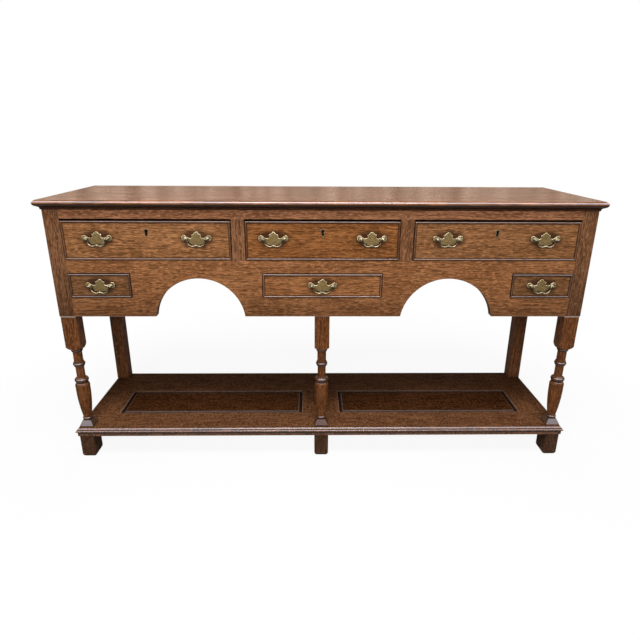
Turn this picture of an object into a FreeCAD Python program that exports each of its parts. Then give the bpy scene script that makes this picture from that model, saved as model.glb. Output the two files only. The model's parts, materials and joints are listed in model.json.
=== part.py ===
import FreeCAD, Part
import os
from types import SimpleNamespace

import Sketcher

# An antique oak dresser base: three deep drawers over three small ones in an arched apron, three turned
# front legs, two square back posts and a panelled pot board. Millimetres, +X to the right, +Y to the
# back, +Z up. The origin lies on the floor, under the middle of the top.

SIZES = {
    # The whole piece
    "overall_height": 850,
    "case_width": 1600,
    "case_depth": 412,
    "case_bottom_share": 0.58824,
    "arris_radius": 1.2,
    # Top
    "top_thickness": 18,
    "top_front_overhang": 20,
    "top_end_overhang": 15,
    "top_back_overhang": 10,
    "top_front_board_depth": 236,
    "nose_lower_depth": 9.5,
    "nose_lower_height": 9.5,
    "nose_lower_bulge": 2.5,
    "nose_flat": 1,
    "nose_upper_radius": 6,
    # Cove moulding under the top
    "cove_height": 9.5,
    "cove_projection": 8,
    "cove_foot_projection": 2.5,
    "cove_foot_height": 2.5,
    "cove_lip": 1.2,
    # Front frame
    "stile_width": 45,
    "stile_depth": 46,
    "rail_thickness": 28,
    "apron_share": 0.20647,
    "top_rail_height": 36,
    "centre_opening_width": 454,
    "muntin_width": 39,
    "small_opening_width": 184,
    "small_centre_opening_width": 361,
    "small_opening_share": 0.08941,
    "small_opening_rise_share": 0.07059,
    "arch_rise_share": 0.14118,
    "left_arch_inner_margin": 55,
    "left_arch_outer_margin": 64.5,
    "right_arch_inner_margin": 59.5,
    "right_arch_outer_margin": 49,
    # Mortise and tenon joints with their pegs
    "tenon_setback": 8,
    "tenon_thickness": 9,
    "tenon_length": 30,
    "tenon_end_gap": 0.8,
    "tenon_shoulder": 6,
    "muntin_tenon_length": 18,
    "peg_radius": 4,
    "peg_length": 24,
    "peg_proud": 0.6,
    "peg_clearance": 0.05,
    # Ends and back
    "end_panel_thickness": 18,
    "end_panel_inset": 5,
    "end_panel_groove": 8,
    "back_post_size": 44,
    "back_board_thickness": 12,
    "back_board_rebate": 10,
    "back_rail_thickness": 22,
    "back_rail_tenon_length": 24,
    # Drawer runners, guides, kickers and stops
    "runner_height": 36,
    "small_runner_height": 30,
    "runner_lip": 13,
    "guide_height": 20,
    "small_guide_height": 15,
    "small_guide_width": 16,
    "kicker_gap": 1,
    "stop_width": 40,
    "stop_height": 5,
    "stop_depth": 9,
    # Turned front legs, from the case down to the pot board
    "leg_square": 46,
    "leg_setback": 1.5,
    "leg_stock_share": 0.72,
    "leg_block_length": 100,
    "leg_shoulder_length": 15,
    "ring_bulge_share": 0.28,
    "top_ring_height": 9,
    "top_ring_radius": 17.4,
    "upper_neck_length": 35,
    "upper_neck_radius": 14,
    "middle_ring_height": 9,
    "middle_ring_radius": 18.6,
    "middle_fillet_height": 3,
    "middle_fillet_radius": 16,
    "lower_neck_length": 42,
    "lower_neck_radius": 13,
    "collar_fillet_height": 4,
    "collar_fillet_radius": 18.6,
    "collar_bead_height": 13,
    "collar_radius": 21.5,
    "baluster_radius": 22,
    "baluster_shoulder": 14,
    "baluster_foot_radius": 12.6,
    "base_ring_height": 8,
    "base_ring_radius": 15.6,
    "base_ring_groove": 2,
    "base_taper_length": 17,
    "base_block_length": 4,
    "base_square": 44,
    "base_top_square": 27,
    "leg_tenon_radius": 11,
    "leg_tenon_length": 22,
    "leg_lap_height": 53,
    "leg_tenon_clearance": 0.05,
    "spigot_in_foot": 30,
    # Feet
    "foot_width": 46,
    "foot_depth": 62,
    "foot_forward": 1.5,
    "foot_outset": 3.5,
    "foot_corner_radius": 5,
    "foot_toe_radius": 12,
    # Pot board
    "pot_board_top": 112,
    "pot_board_thickness": 28,
    "pot_front_overhang": 11.5,
    "pot_end_overhang": 7.5,
    "pot_front_rail_width": 109.5,
    "pot_end_rail_width": 111,
    "pot_muntin_width": 132,
    "pot_panel_opening": 159,
    "pot_panel_thickness": 9,
    "pot_panel_recess": 7,
    "pot_panel_margin": 11,
    "pot_panel_field_rise": 5,
    "pot_panel_field_round": 2.5,
    "pot_panel_play": 1,
    "pot_groove": 8,
    "pot_groove_stop": 22,
    "pot_thumb_radius": 7,
    "pot_bead_height": 7,
    "pot_bead_projection": 3,
    "pot_thumb_step": 1,
    "pot_quirk_height": 2,
    "pot_quirk_depth": 1.5,
    "pot_fascia_setback": 4.5,
    "pot_frame_round": 2.5,
    # Drawers
    "drawer_back_room": 18,
    "drawer_side_gap": 1.5,
    "drawer_foot_gap": 1,
    "deep_drawer_top_gap": 5.5,
    "small_drawer_top_gap": 2,
    "drawer_front_thickness": 18,
    "drawer_side_thickness": 9,
    "drawer_side_drop": 6,
    "drawer_back_thickness": 8,
    "drawer_back_drop": 4,
    "drawer_back_housing": 3,
    "drawer_bottom_thickness": 7,
    "drawer_bottom_rise": 9,
    "drawer_bottom_groove": 4,
    "dovetail_lap": 7,
    "tail_tip_share": 0.72,
    "tail_neck_share": 0.54,
    "bead_width": 5,
    "bead_proud": 3,
    "bead_depth": 6,
    "bead_nose_radius": 2.3,
    # Brass handles
    "handle_spacing": 287,
    "deep_handle_share": 0.527,
    "small_handle_share": 0.4934,
    "post_spacing": 64,
    "post_reach": 10,
    "post_head_radius": 3.8,
    "post_neck_radius": 2.4,
    "post_collar_radius": 5.2,
    "post_collar_height": 1.8,
    "post_clearance": 0.2,
    "nut_radius": 6,
    "nut_height": 4,
    "plate_thickness": 1.6,
    "plate_width": 87,
    "plate_rise": 21,
    "plate_drop": 19.5,
    "bail_wire_radius": 1.9,
    "bail_pin_radius": 1.4,
    "bail_pin_clearance": 0.05,
    "bail_post_gap": 0.6,
    "bail_drop": 20.5,
    "bail_bend_radius": 15,
    "bail_knop_radius": 3,
    "bail_collar_radius": 2.5,
    "bail_collar_width": 1.6,
    # Locks and keyholes
    "keyhole_share": 0.715,
    "keyhole_radius": 4.2,
    "keyhole_slot_width": 5,
    "keyhole_slot_drop": 13,
    "keyhole_liner": 1.6,
    "keyhole_liner_depth": 6,
    "keyhole_liner_proud": 0.4,
    "lock_width": 60,
    "lock_depth": 11,
    "lock_drop": 24,
    "lock_plate": 2,
    "bolt_width": 18,
    "bolt_length": 24,
    "bolt_clearance": 0.3,
    "bolt_mortise_depth": 9,
}

doc = FreeCAD.newDocument("dresser_base")
sheet = doc.addObject("Spreadsheet::Sheet", "dims")
for row, (alias, number) in enumerate(SIZES.items(), 1):
    sheet.set(f"A{row}", alias)
    sheet.set(f"B{row}", str(number))
    sheet.setAlias(f"B{row}", alias)
doc.recompute()


class Size:
    """A length that carries both its value and the sheet formula that it comes from."""

    def __init__(self, value, formula):
        self.value = value
        self.formula = formula

    def __add__(self, other):
        other = as_size(other)
        return Size(self.value + other.value, f"({self.formula} + {other.formula})")

    def __sub__(self, other):
        other = as_size(other)
        return Size(self.value - other.value, f"({self.formula} - {other.formula})")

    def __mul__(self, other):
        other = as_size(other)
        return Size(self.value * other.value, f"({self.formula} * {other.formula})")

    def __truediv__(self, other):
        other = as_size(other)
        return Size(self.value / other.value, f"({self.formula} / {other.formula})")

    def __rsub__(self, other):
        return as_size(other) - self

    def __neg__(self):
        return Size(-self.value, f"(0 - {self.formula})")


def as_size(number):
    if isinstance(number, Size):
        return number
    return Size(number, f"({number})")


dims = SimpleNamespace(**{name: Size(float(sheet.get(name)), f"dims.{name}") for name in SIZES})
ZERO = as_size(0)
QUARTER_BULGE = 0.292893     # rise of a quarter circle over its chord, as a share of the radius
TOUCH = 0.001                # how near an edge must lie to a plane to count as in it
pieces = {}


def bind(item, path, length):
    item.setExpression(path, as_size(length).formula)


def place(item, x, y, z):
    for axis, length in zip("xyz", (x, y, z)):
        bind(item, f"Placement.Base.{axis}", length)
    return item


# Basic shapes

def block(x, y, z):
    """A rectangular block; x, y and z are each a low and a high place."""
    item = doc.addObject("Part::Box", "block")
    for name, (low, high) in zip(("Length", "Width", "Height"), (x, y, z)):
        bind(item, name, high - low)
    return place(item, x[0], y[0], z[0])


TURNS = {
    "x": FreeCAD.Rotation(FreeCAD.Vector(0, 1, 0), 90),
    "y": FreeCAD.Rotation(FreeCAD.Vector(1, 0, 0), -90),
    "z": FreeCAD.Rotation(),
}


def rod(axis, start, length, radius):
    """A round rod that starts at a point and runs along +X, +Y or +Z."""
    item = doc.addObject("Part::Cylinder", "rod")
    item.Placement = FreeCAD.Placement(FreeCAD.Vector(), TURNS[axis])
    bind(item, "Height", length)
    bind(item, "Radius", radius)
    return place(item, *start)


def ball(axis, x, y, z, radius):
    """A ball with its poles along an axis, the one along which a rod or a bore passes through it."""
    item = doc.addObject("Part::Sphere", "ball")
    item.Placement = FreeCAD.Placement(FreeCAD.Vector(), TURNS[axis])
    bind(item, "Radius", radius)
    return place(item, x, y, z)


def wedge(near, far, first_x, last_x, first_z, last_z, turn=None):
    """A tapered block: its cross-section goes from the first pair of ranges at near to the last at far."""
    item = doc.addObject("Part::Wedge", "wedge")
    places = (("Ymin", near), ("Ymax", far), ("Xmin", first_x[0]), ("Xmax", first_x[1]),
              ("X2min", last_x[0]), ("X2max", last_x[1]), ("Zmin", first_z[0]), ("Zmax", first_z[1]),
              ("Z2min", last_z[0]), ("Z2max", last_z[1]))
    for name, length in places:
        bind(item, name, length)
    if turn:
        item.Placement = FreeCAD.Placement(FreeCAD.Vector(), turn)
    return item


# Turns that lead a wedge up along Z, with its Z towards -Y, or aside along X
TURN_UP = FreeCAD.Rotation(FreeCAD.Vector(1, 0, 0), 90)
TURN_ASIDE = FreeCAD.Rotation(FreeCAD.Vector(1, 1, 1), -120)


def combine(kind, name, items):
    item = doc.addObject(kind, name)
    item.Shapes = items
    return item


def fuse(*items):
    return items[0] if len(items) == 1 else combine("Part::MultiFuse", "joined", list(items))


def common(*items):
    return combine("Part::MultiCommon", "shared", list(items))


def cut(base, *tools):
    item = doc.addObject("Part::Cut", "cut")
    item.Base = base
    item.Tool = fuse(*tools)
    return item


def softened(base, radius, chosen):
    """Rounds the chosen edges of a shape."""
    doc.recompute()
    item = doc.addObject("Part::Fillet", "softened")
    item.Base = base
    numbers = [number for number, edge in enumerate(base.Shape.Edges, 1) if chosen(edge)]
    item.Edges = [(number, radius.value, radius.value) for number in numbers]
    return item


def edge_range(edge, axis):
    box = edge.BoundBox
    return {"x": (box.XMin, box.XMax), "y": (box.YMin, box.YMax), "z": (box.ZMin, box.ZMax)}[axis]


def lies_at(edge, axis, level):
    low, high = edge_range(edge, axis)
    return abs(low - level.value) < TOUCH and abs(high - level.value) < TOUCH


def runs_along(edge, axis):
    low, high = edge_range(edge, axis)
    return edge.Curve.TypeId == "Part::GeomLine" and high - low > edge.Length - TOUCH


def is_peg_hole(edge):
    return edge.Curve.TypeId == "Part::GeomCircle" and edge.Curve.Radius < 2 * dims.peg_radius.value


def face_arrises(axis, level):
    """Picks the edges of one face, leaving its peg holes sharp."""
    return lambda edge: lies_at(edge, axis, level) and not is_peg_hole(edge)


def group(*items):
    item = doc.addObject("Part::Compound", "group")
    item.Links = list(items)
    return item


def piece(name, item):
    """Names a finished sub-part."""
    item.Label = name
    pieces[name] = item
    return item


# Drawn shapes

def draw(sketch, outline, closed=True):
    """Draws an outline, anticlockwise. A corner is (across, up), and a third length bulges the side that
    ends there outwards by that much, or inwards where it is negative."""
    corners = [tuple(as_size(length) for length in corner) for corner in outline]
    vector = FreeCAD.Vector
    limits = []
    bindings = []
    ends = []
    first = 0 if closed else 1
    for corner_number in range(first, len(corners)):
        start = corners[corner_number - 1]
        end = corners[corner_number]
        run = (end[0] - start[0], end[1] - start[1])
        start_point = vector(start[0].value, start[1].value, 0)
        end_point = vector(end[0].value, end[1].value, 0)
        side = len(ends)
        if len(end) == 2:
            sketch.addGeometry(Part.LineSegment(start_point, end_point))
            ends.append((1, 2))
        else:
            bulge = end[2]
            outwards = vector(run[1].value, -run[0].value, 0).normalize()
            middle = (start_point + end_point) * 0.5 + outwards * bulge.value
            sketch.addGeometry(Part.Arc(start_point, middle, end_point))
            depth = bulge if bulge.value > 0 else -bulge
            radius = (run[0] * run[0] + run[1] * run[1]) / (depth * 8) + depth / 2
            bindings.append((len(limits), radius))
            limits.append(Sketcher.Constraint("Radius", side, radius.value))
            ends.append((1, 2) if bulge.value > 0 else (2, 1))
        for kind, length in (("DistanceX", end[0]), ("DistanceY", end[1])):
            bindings.append((len(limits), length))
            limits.append(Sketcher.Constraint(kind, -1, 1, side, ends[side][1], length.value))
        if not closed and side == 0:
            for kind, length in (("DistanceX", start[0]), ("DistanceY", start[1])):
                bindings.append((len(limits), length))
                limits.append(Sketcher.Constraint(kind, -1, 1, side, ends[side][0], length.value))
    for side in range(len(ends)):
        if side or closed:
            limits.append(Sketcher.Constraint("Coincident", side - 1 if side else len(ends) - 1,
                                              ends[side - 1][1], side, ends[side][0]))
    sketch.addConstraint(limits)
    for number, length in bindings:
        sketch.setExpression(f"Constraints[{number}]", length.formula)


def plane_sketch(body, role):
    sketch = body.newObject("Sketcher::SketchObject", "outline")
    plane = next(item for item in body.Origin.OriginFeatures if item.Role == role)
    sketch.AttachmentSupport = [(plane, "")]
    sketch.MapMode = "FlatFace"
    return sketch


def prism(axis, outline, low, high):
    """Pads an outline from low to high along X (drawn in Y and Z) or along Y (drawn in X and Z)."""
    body = doc.addObject("PartDesign::Body", "prism")
    sketch = plane_sketch(body, {"x": "YZ_Plane", "y": "XZ_Plane"}[axis])
    bind(sketch, "AttachmentOffset.Base.z", {"x": low, "y": -high}[axis])
    draw(sketch, outline)
    pad = body.newObject("PartDesign::Pad", "pad")
    pad.Profile = sketch
    bind(pad, "Length", high - low)
    return body


def turning(outline):
    """Turns an outline of radius and height about Z."""
    body = doc.addObject("PartDesign::Body", "turning")
    sketch = plane_sketch(body, "XZ_Plane")
    draw(sketch, outline)
    turned = body.newObject("PartDesign::Revolution", "turned")
    turned.Profile = sketch
    turned.ReferenceAxis = (sketch, ["V_Axis"])
    return body


# Main places

half_width = dims.case_width / 2
front = (dims.top_front_overhang - dims.case_depth - dims.top_back_overhang) / 2
back = front + dims.case_depth
top_under = dims.overall_height - dims.top_thickness
case_bottom = dims.overall_height * dims.case_bottom_share
apron_top = case_bottom + dims.overall_height * dims.apron_share
deep_top = top_under - dims.top_rail_height
stile_inner = half_width - dims.stile_width
post_inner = half_width - dims.back_post_size
post_front = back - dims.back_post_size
muntin_inner = dims.centre_opening_width / 2
muntin_outer = muntin_inner + dims.muntin_width
small_low = case_bottom + dims.overall_height * dims.small_opening_rise_share
small_high = small_low + dims.overall_height * dims.small_opening_share
small_inner = stile_inner - dims.small_opening_width
small_centre = dims.small_centre_opening_width / 2
rail_back = front + dims.rail_thickness
back_rail_back = back - dims.back_board_thickness
back_rail_front = back_rail_back - dims.back_rail_thickness
panel_outer = half_width - dims.end_panel_inset
panel_inner = panel_outer - dims.end_panel_thickness
leg_middle = half_width - dims.leg_setback - dims.leg_square / 2
leg_y = front + dims.leg_setback + dims.leg_square / 2
leg_bore = dims.leg_tenon_radius + dims.leg_tenon_clearance
pot_under = dims.pot_board_top - dims.pot_board_thickness
SIDES = {"left": -1, "right": 1}


def span(side, inner, outer):
    """The range from inner to outer distance on one side of the middle."""
    if side == "left":
        return (-outer, -inner)
    return (inner, outer)


def reach(low, high, more):
    return (low - more, high + more)


# Top boards: two planks edge to edge, with a thumb-moulded nose on the front and both ends

def nose_corners(edge, sign):
    """The nose from the underside up to the top face; sign says which way is outwards."""
    upper = dims.nose_upper_radius
    flat_low = top_under + dims.nose_lower_height
    flat_high = flat_low + dims.nose_flat
    return [
        (edge - dims.nose_lower_depth * sign, top_under),
        (edge, flat_low, dims.nose_lower_bulge),
        (edge, flat_high),
        (edge - upper * sign, flat_high + upper, upper * QUARTER_BULGE),
        (edge - upper * sign, dims.overall_height),
    ]


def backwards(corners):
    """The same run of corners walked the other way, so that it stays anticlockwise when mirrored."""
    result = []
    bulge = ()
    for corner in reversed(corners):
        result.append(tuple(corner[:2]) + bulge)
        bulge = tuple(corner[2:])
    return result


top_end = half_width + dims.top_end_overhang
top_front = front - dims.top_front_overhang
top_back = back + dims.top_back_overhang
top_joint = top_front + dims.top_front_board_depth
top_section = nose_corners(top_end, 1) + backwards(nose_corners(-top_end, -1))
top_run = backwards(nose_corners(top_front, -1))
top_run += [(top_joint, top_under), (top_joint, dims.overall_height)]
front_plank = common(prism("y", top_section, top_front, top_joint),
                     prism("x", top_run, -top_end, top_end))
back_plank = prism("y", top_section, top_joint, top_back)
piece("top_boards", group(front_plank, back_plank))

# Cove moulding under the top: three strips, mitred at the front corners

cove_low = top_under - dims.cove_height


def cove_strip(face, low, high, mitre_low, mitre_high):
    """A strip along X against a face that looks towards -Y, with a mitre at either end."""
    out = dims.cove_projection
    foot = dims.cove_foot_projection
    foot_top = cove_low + dims.cove_foot_height
    lip_low = top_under - dims.cove_lip
    outline = [
        (face, top_under),
        (face - out, top_under),
        (face - out, lip_low),
        (face - foot, foot_top, -(out - foot) * QUARTER_BULGE),
        (face - foot, cove_low),
        (face, cove_low),
    ]
    strip = prism("x", outline, low - out, high + out)
    outer = (low - out * mitre_low, high + out * mitre_high)
    return common(strip, wedge(face - out, face, outer, (low, high), (cove_low, top_under),
                               (cove_low, top_under)))


front_cove = cove_strip(front, -half_width, half_width, 1, 1)
left_cove = cove_strip(-half_width, -back, -front, 0, 1)
left_cove.Placement = FreeCAD.Placement(FreeCAD.Vector(), FreeCAD.Rotation(FreeCAD.Vector(0, 0, 1), -90))
right_cove = cove_strip(-half_width, front, back, 1, 0)
right_cove.Placement = FreeCAD.Placement(FreeCAD.Vector(), FreeCAD.Rotation(FreeCAD.Vector(0, 0, 1), 90))
piece("top_cove_moulding", group(front_cove, left_cove, right_cove))

# Joints of the front frame: each tenon is one block, and its mortise is the same block let in deeper

frame_y = (front, rail_back)
tenon_y = (front + dims.tenon_setback, front + dims.tenon_setback + dims.tenon_thickness)
rail_tenon_z = (deep_top + dims.tenon_shoulder, top_under - dims.tenon_shoulder)
low_tenon_z = (case_bottom + dims.leg_tenon_length + dims.tenon_shoulder,
               small_low - dims.tenon_shoulder)
high_tenon_z = (small_high + dims.tenon_shoulder, apron_top - dims.tenon_shoulder)
muntin_tenon_x = (muntin_inner + dims.tenon_shoulder, muntin_outer - dims.tenon_shoulder)
stile_middle = half_width - dims.stile_width / 2
muntin_middle = (muntin_inner + muntin_outer) / 2
muntin_tenon_middle = dims.muntin_tenon_length / 2


def end_tenon(side, z, more=ZERO):
    return block(span(side, stile_inner, stile_inner + dims.tenon_length + more), tenon_y, z)


def muntin_tenons(side, more=ZERO):
    x = span(side, *muntin_tenon_x)
    depth = dims.muntin_tenon_length + more
    return [block(x, tenon_y, (apron_top - depth, apron_top)),
            block(x, tenon_y, (deep_top, deep_top + depth))]


def peg_places(side):
    """Across and up, where the pegs of one half of the front frame are driven in."""
    sign = SIDES[side]
    stile_x = stile_middle * sign
    muntin_x = muntin_middle * sign
    middles = [(z[0] + z[1]) / 2 for z in (rail_tenon_z, low_tenon_z, high_tenon_z)]
    stile_pegs = [(stile_x, z) for z in middles]
    muntin_pegs = [(muntin_x, z) for z in (apron_top - muntin_tenon_middle, deep_top + muntin_tenon_middle)]
    return stile_pegs + muntin_pegs


def peg_holes(side):
    radius = dims.peg_radius + dims.peg_clearance
    return [rod("y", (x, front, z), dims.peg_length, radius) for x, z in peg_places(side)]


both_peg_holes = peg_holes("left") + peg_holes("right")

# Front stiles

for side, sign in SIDES.items():
    stile = block(span(side, stile_inner, half_width), (front, front + dims.stile_depth),
                  (case_bottom, top_under))
    leg_socket = rod("z", (leg_middle * sign, leg_y, case_bottom),
                     dims.leg_tenon_length + dims.tenon_end_gap, leg_bore)
    panel_groove = block(span(side, panel_inner, panel_outer),
                         (front + dims.stile_depth - dims.end_panel_groove, front + dims.stile_depth),
                         (case_bottom, top_under))
    mortises = [end_tenon(side, z, dims.tenon_end_gap) for z in (rail_tenon_z, low_tenon_z, high_tenon_z)]
    stile = cut(stile, leg_socket, panel_groove, *mortises, *peg_holes(side))
    piece(f"front_stile_{side}", softened(stile, dims.arris_radius, face_arrises("y", front)))

# Front top rail, with the mortises that take the lock bolts

deep_openings = {
    "left": (-stile_inner, -muntin_outer),
    "centre": (-muntin_inner, muntin_inner),
    "right": (muntin_outer, stile_inner),
}
bolt_y = (front + dims.drawer_front_thickness + dims.lock_plate,
          front + dims.drawer_front_thickness + dims.lock_depth - dims.lock_plate)
bolt_room_y = reach(*bolt_y, dims.bolt_clearance)


def opening_middle(opening):
    return (opening[0] + opening[1]) / 2


def bolt_x(opening, more=ZERO):
    middle = opening_middle(opening)
    return reach(middle - dims.bolt_width / 2, middle + dims.bolt_width / 2, more)


bolt_mortises = [block(bolt_x(opening, dims.bolt_clearance), bolt_room_y,
                       (deep_top, deep_top + dims.bolt_mortise_depth)) for opening in deep_openings.values()]
top_rail = fuse(block((-stile_inner, stile_inner), frame_y, (deep_top, top_under)),
                end_tenon("left", rail_tenon_z), end_tenon("right", rail_tenon_z))
rail_mortises = [muntin_tenons(side, dims.tenon_end_gap)[1] for side in SIDES]
top_rail = cut(top_rail, *rail_mortises, *both_peg_holes, *bolt_mortises)
piece("front_top_rail", softened(top_rail, dims.arris_radius, face_arrises("y", front)))

# Front apron: one wide board with two arches and the openings of the small drawers

small_openings = {
    "left": (-stile_inner, -small_inner),
    "centre": (-small_centre, small_centre),
    "right": (small_inner, stile_inner),
}


def arch(side, inner_margin, outer_margin):
    """A round-headed opening between two small drawers, that rises from the lower edge of the apron."""
    low, high = span(side, small_centre + inner_margin, small_inner - outer_margin)
    width = high - low
    rise = dims.overall_height * dims.arch_rise_share
    radius = rise / 2 + width * width / (rise * 8)
    return rod("y", ((low + high) / 2, front, case_bottom + rise - radius), dims.rail_thickness, radius)


apron = fuse(block((-stile_inner, stile_inner), frame_y, (case_bottom, apron_top)),
             *[end_tenon(side, z) for side in SIDES for z in (low_tenon_z, high_tenon_z)])
openings = [block(opening, frame_y, (small_low, small_high)) for opening in small_openings.values()]
arches = [arch("left", dims.left_arch_inner_margin, dims.left_arch_outer_margin),
          arch("right", dims.right_arch_inner_margin, dims.right_arch_outer_margin)]
apron_mortises = [muntin_tenons(side, dims.tenon_end_gap)[0] for side in SIDES]
apron = cut(apron, *openings, *arches, *apron_mortises, *both_peg_holes)
piece("front_apron", softened(apron, dims.arris_radius, face_arrises("y", front)))

# Muntins between the deep drawers

muntins = []
for side in SIDES:
    post = fuse(block(span(side, muntin_inner, muntin_outer), frame_y, (apron_top, deep_top)),
                *muntin_tenons(side))
    post = cut(post, *peg_holes(side))
    muntins.append(softened(post, dims.arris_radius, face_arrises("y", front)))
piece("front_muntins", group(*muntins))

# Pegs of the front frame, standing a little proud where the wood has shrunk

pegs = [rod("y", (x, front - dims.peg_proud, z), dims.peg_length + dims.peg_proud, dims.peg_radius)
        for side in SIDES for x, z in peg_places(side)]
piece("joint_pegs", group(*pegs))

# Back posts, from the floor to the top, grooved for the ends and rebated for the back boards

high_rail_z = (apron_top - dims.runner_height, apron_top)
low_rail_z = (small_low - dims.small_runner_height, small_low)
back_tenon_y = ((back_rail_front + back_rail_back - dims.tenon_thickness) / 2,
                (back_rail_front + back_rail_back + dims.tenon_thickness) / 2)


def back_tenon(side, rail_z, more=ZERO):
    z = (rail_z[0] + dims.tenon_shoulder, rail_z[1] - dims.tenon_shoulder)
    return block(span(side, post_inner, post_inner + dims.back_rail_tenon_length + more), back_tenon_y, z)


for side in SIDES:
    post = block(span(side, post_inner, half_width), (post_front, back), (ZERO, top_under))
    post = softened(post, dims.arris_radius, lambda edge: runs_along(edge, "z") or lies_at(edge, "z", ZERO))
    panel_groove = block(span(side, panel_inner, panel_outer),
                         (post_front, post_front + dims.end_panel_groove), (case_bottom, top_under))
    board_rebate = block(span(side, post_inner, post_inner + dims.back_board_rebate), (back_rail_back, back),
                         (low_rail_z[0], top_under))
    mortises = [back_tenon(side, z, dims.tenon_end_gap) for z in (high_rail_z, low_rail_z)]
    piece(f"back_post_{side}", cut(post, panel_groove, board_rebate, *mortises))

# Ends: one wide board each, housed in the stile and the back post

for side in SIDES:
    panel_y = (front + dims.stile_depth - dims.end_panel_groove, post_front + dims.end_panel_groove)
    panel = block(span(side, panel_inner, panel_outer), panel_y, (case_bottom, top_under))
    piece(f"end_panel_{side}", panel)

# Back: two rails that carry the runners, and two boards in the rebates that end level with the low rail

board_half = post_inner + dims.back_board_rebate
board_joint = (case_bottom + top_under) / 2
back_boards = [block((-board_half, board_half), (back_rail_back, back), z)
               for z in ((low_rail_z[0], board_joint), (board_joint, top_under))]
piece("back_boards", group(*back_boards))
back_rails = []
for rail_z in (high_rail_z, low_rail_z):
    rail = block((-post_inner, post_inner), (back_rail_front, back_rail_back), rail_z)
    back_rails.append(fuse(rail, *[back_tenon(side, rail_z) for side in SIDES]))
piece("back_rails", group(*back_rails))

# Runners under the drawer sides, each with a guide along its top that keeps the drawer straight

stile_back = front + dims.stile_depth


def runner(side, carry, guide, y, rail_z, guide_height):
    return fuse(block(span(side, *carry), y, rail_z),
                block(span(side, *guide), y, (rail_z[1], rail_z[1] + guide_height)))


end_carry = (stile_inner - dims.runner_lip, panel_inner)
end_guide = (stile_inner, panel_inner)
muntin_carry = (muntin_inner - dims.runner_lip, muntin_outer + dims.runner_lip)
muntin_guide = (muntin_inner, muntin_outer)
inner_guide = (small_inner - dims.small_guide_width, small_inner)
inner_carry = (inner_guide[0], small_inner + dims.runner_lip)
centre_guide = (small_centre, small_centre + dims.small_guide_width)
centre_carry = (small_centre - dims.runner_lip, centre_guide[1])
end_run = (stile_back, post_front)
inner_run = (rail_back, back_rail_front)
kicker_z = (deep_top + dims.kicker_gap, top_under)
deep_places = ((end_carry, end_guide, end_run), (muntin_carry, muntin_guide, inner_run))
small_places = ((end_carry, end_guide, end_run), (inner_carry, inner_guide, inner_run),
                (centre_carry, centre_guide, inner_run))
deep_runners = []
small_runners = []
kickers = []
for side in SIDES:
    for carry, guide, run in deep_places:
        deep_runners.append(runner(side, carry, guide, run, high_rail_z, dims.guide_height))
        kickers.append(block(span(side, *carry), run, kicker_z))
    for carry, guide, run in small_places:
        small_runners.append(runner(side, carry, guide, run, low_rail_z, dims.small_guide_height))
piece("deep_drawer_runners", group(*deep_runners))
piece("small_drawer_runners", group(*small_runners))
piece("drawer_kickers", group(*kickers))

# Stops on the apron, two behind each drawer front

stop_y = (front + dims.drawer_front_thickness, front + dims.drawer_front_thickness + dims.stop_depth)
stops = []
for opening_set, sill in ((deep_openings, apron_top), (small_openings, small_low)):
    for opening in opening_set.values():
        for share in (1 / 4, 3 / 4):
            middle = opening[0] + (opening[1] - opening[0]) * share
            stop_x = (middle - dims.stop_width / 2, middle + dims.stop_width / 2)
            stops.append(block(stop_x, stop_y, (sill, sill + dims.stop_height)))
piece("drawer_stops", group(*stops))

# Turned front legs: square stock turned between an upper block and a base that stands on the pot board

leg_stock = dims.leg_square * dims.leg_stock_share
spigot_low = pot_under - dims.spigot_in_foot
base_low = dims.pot_board_top + dims.base_block_length
base_high = base_low + dims.base_taper_length


def bead(corners, radius, height):
    """Adds a rounded ring of a given height to a turned outline, on top of its last corner."""
    level = corners[-1][1]
    bulge = height * dims.ring_bulge_share
    corners.append((radius - bulge, level))
    corners.append((radius - bulge, level + height, bulge))


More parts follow.
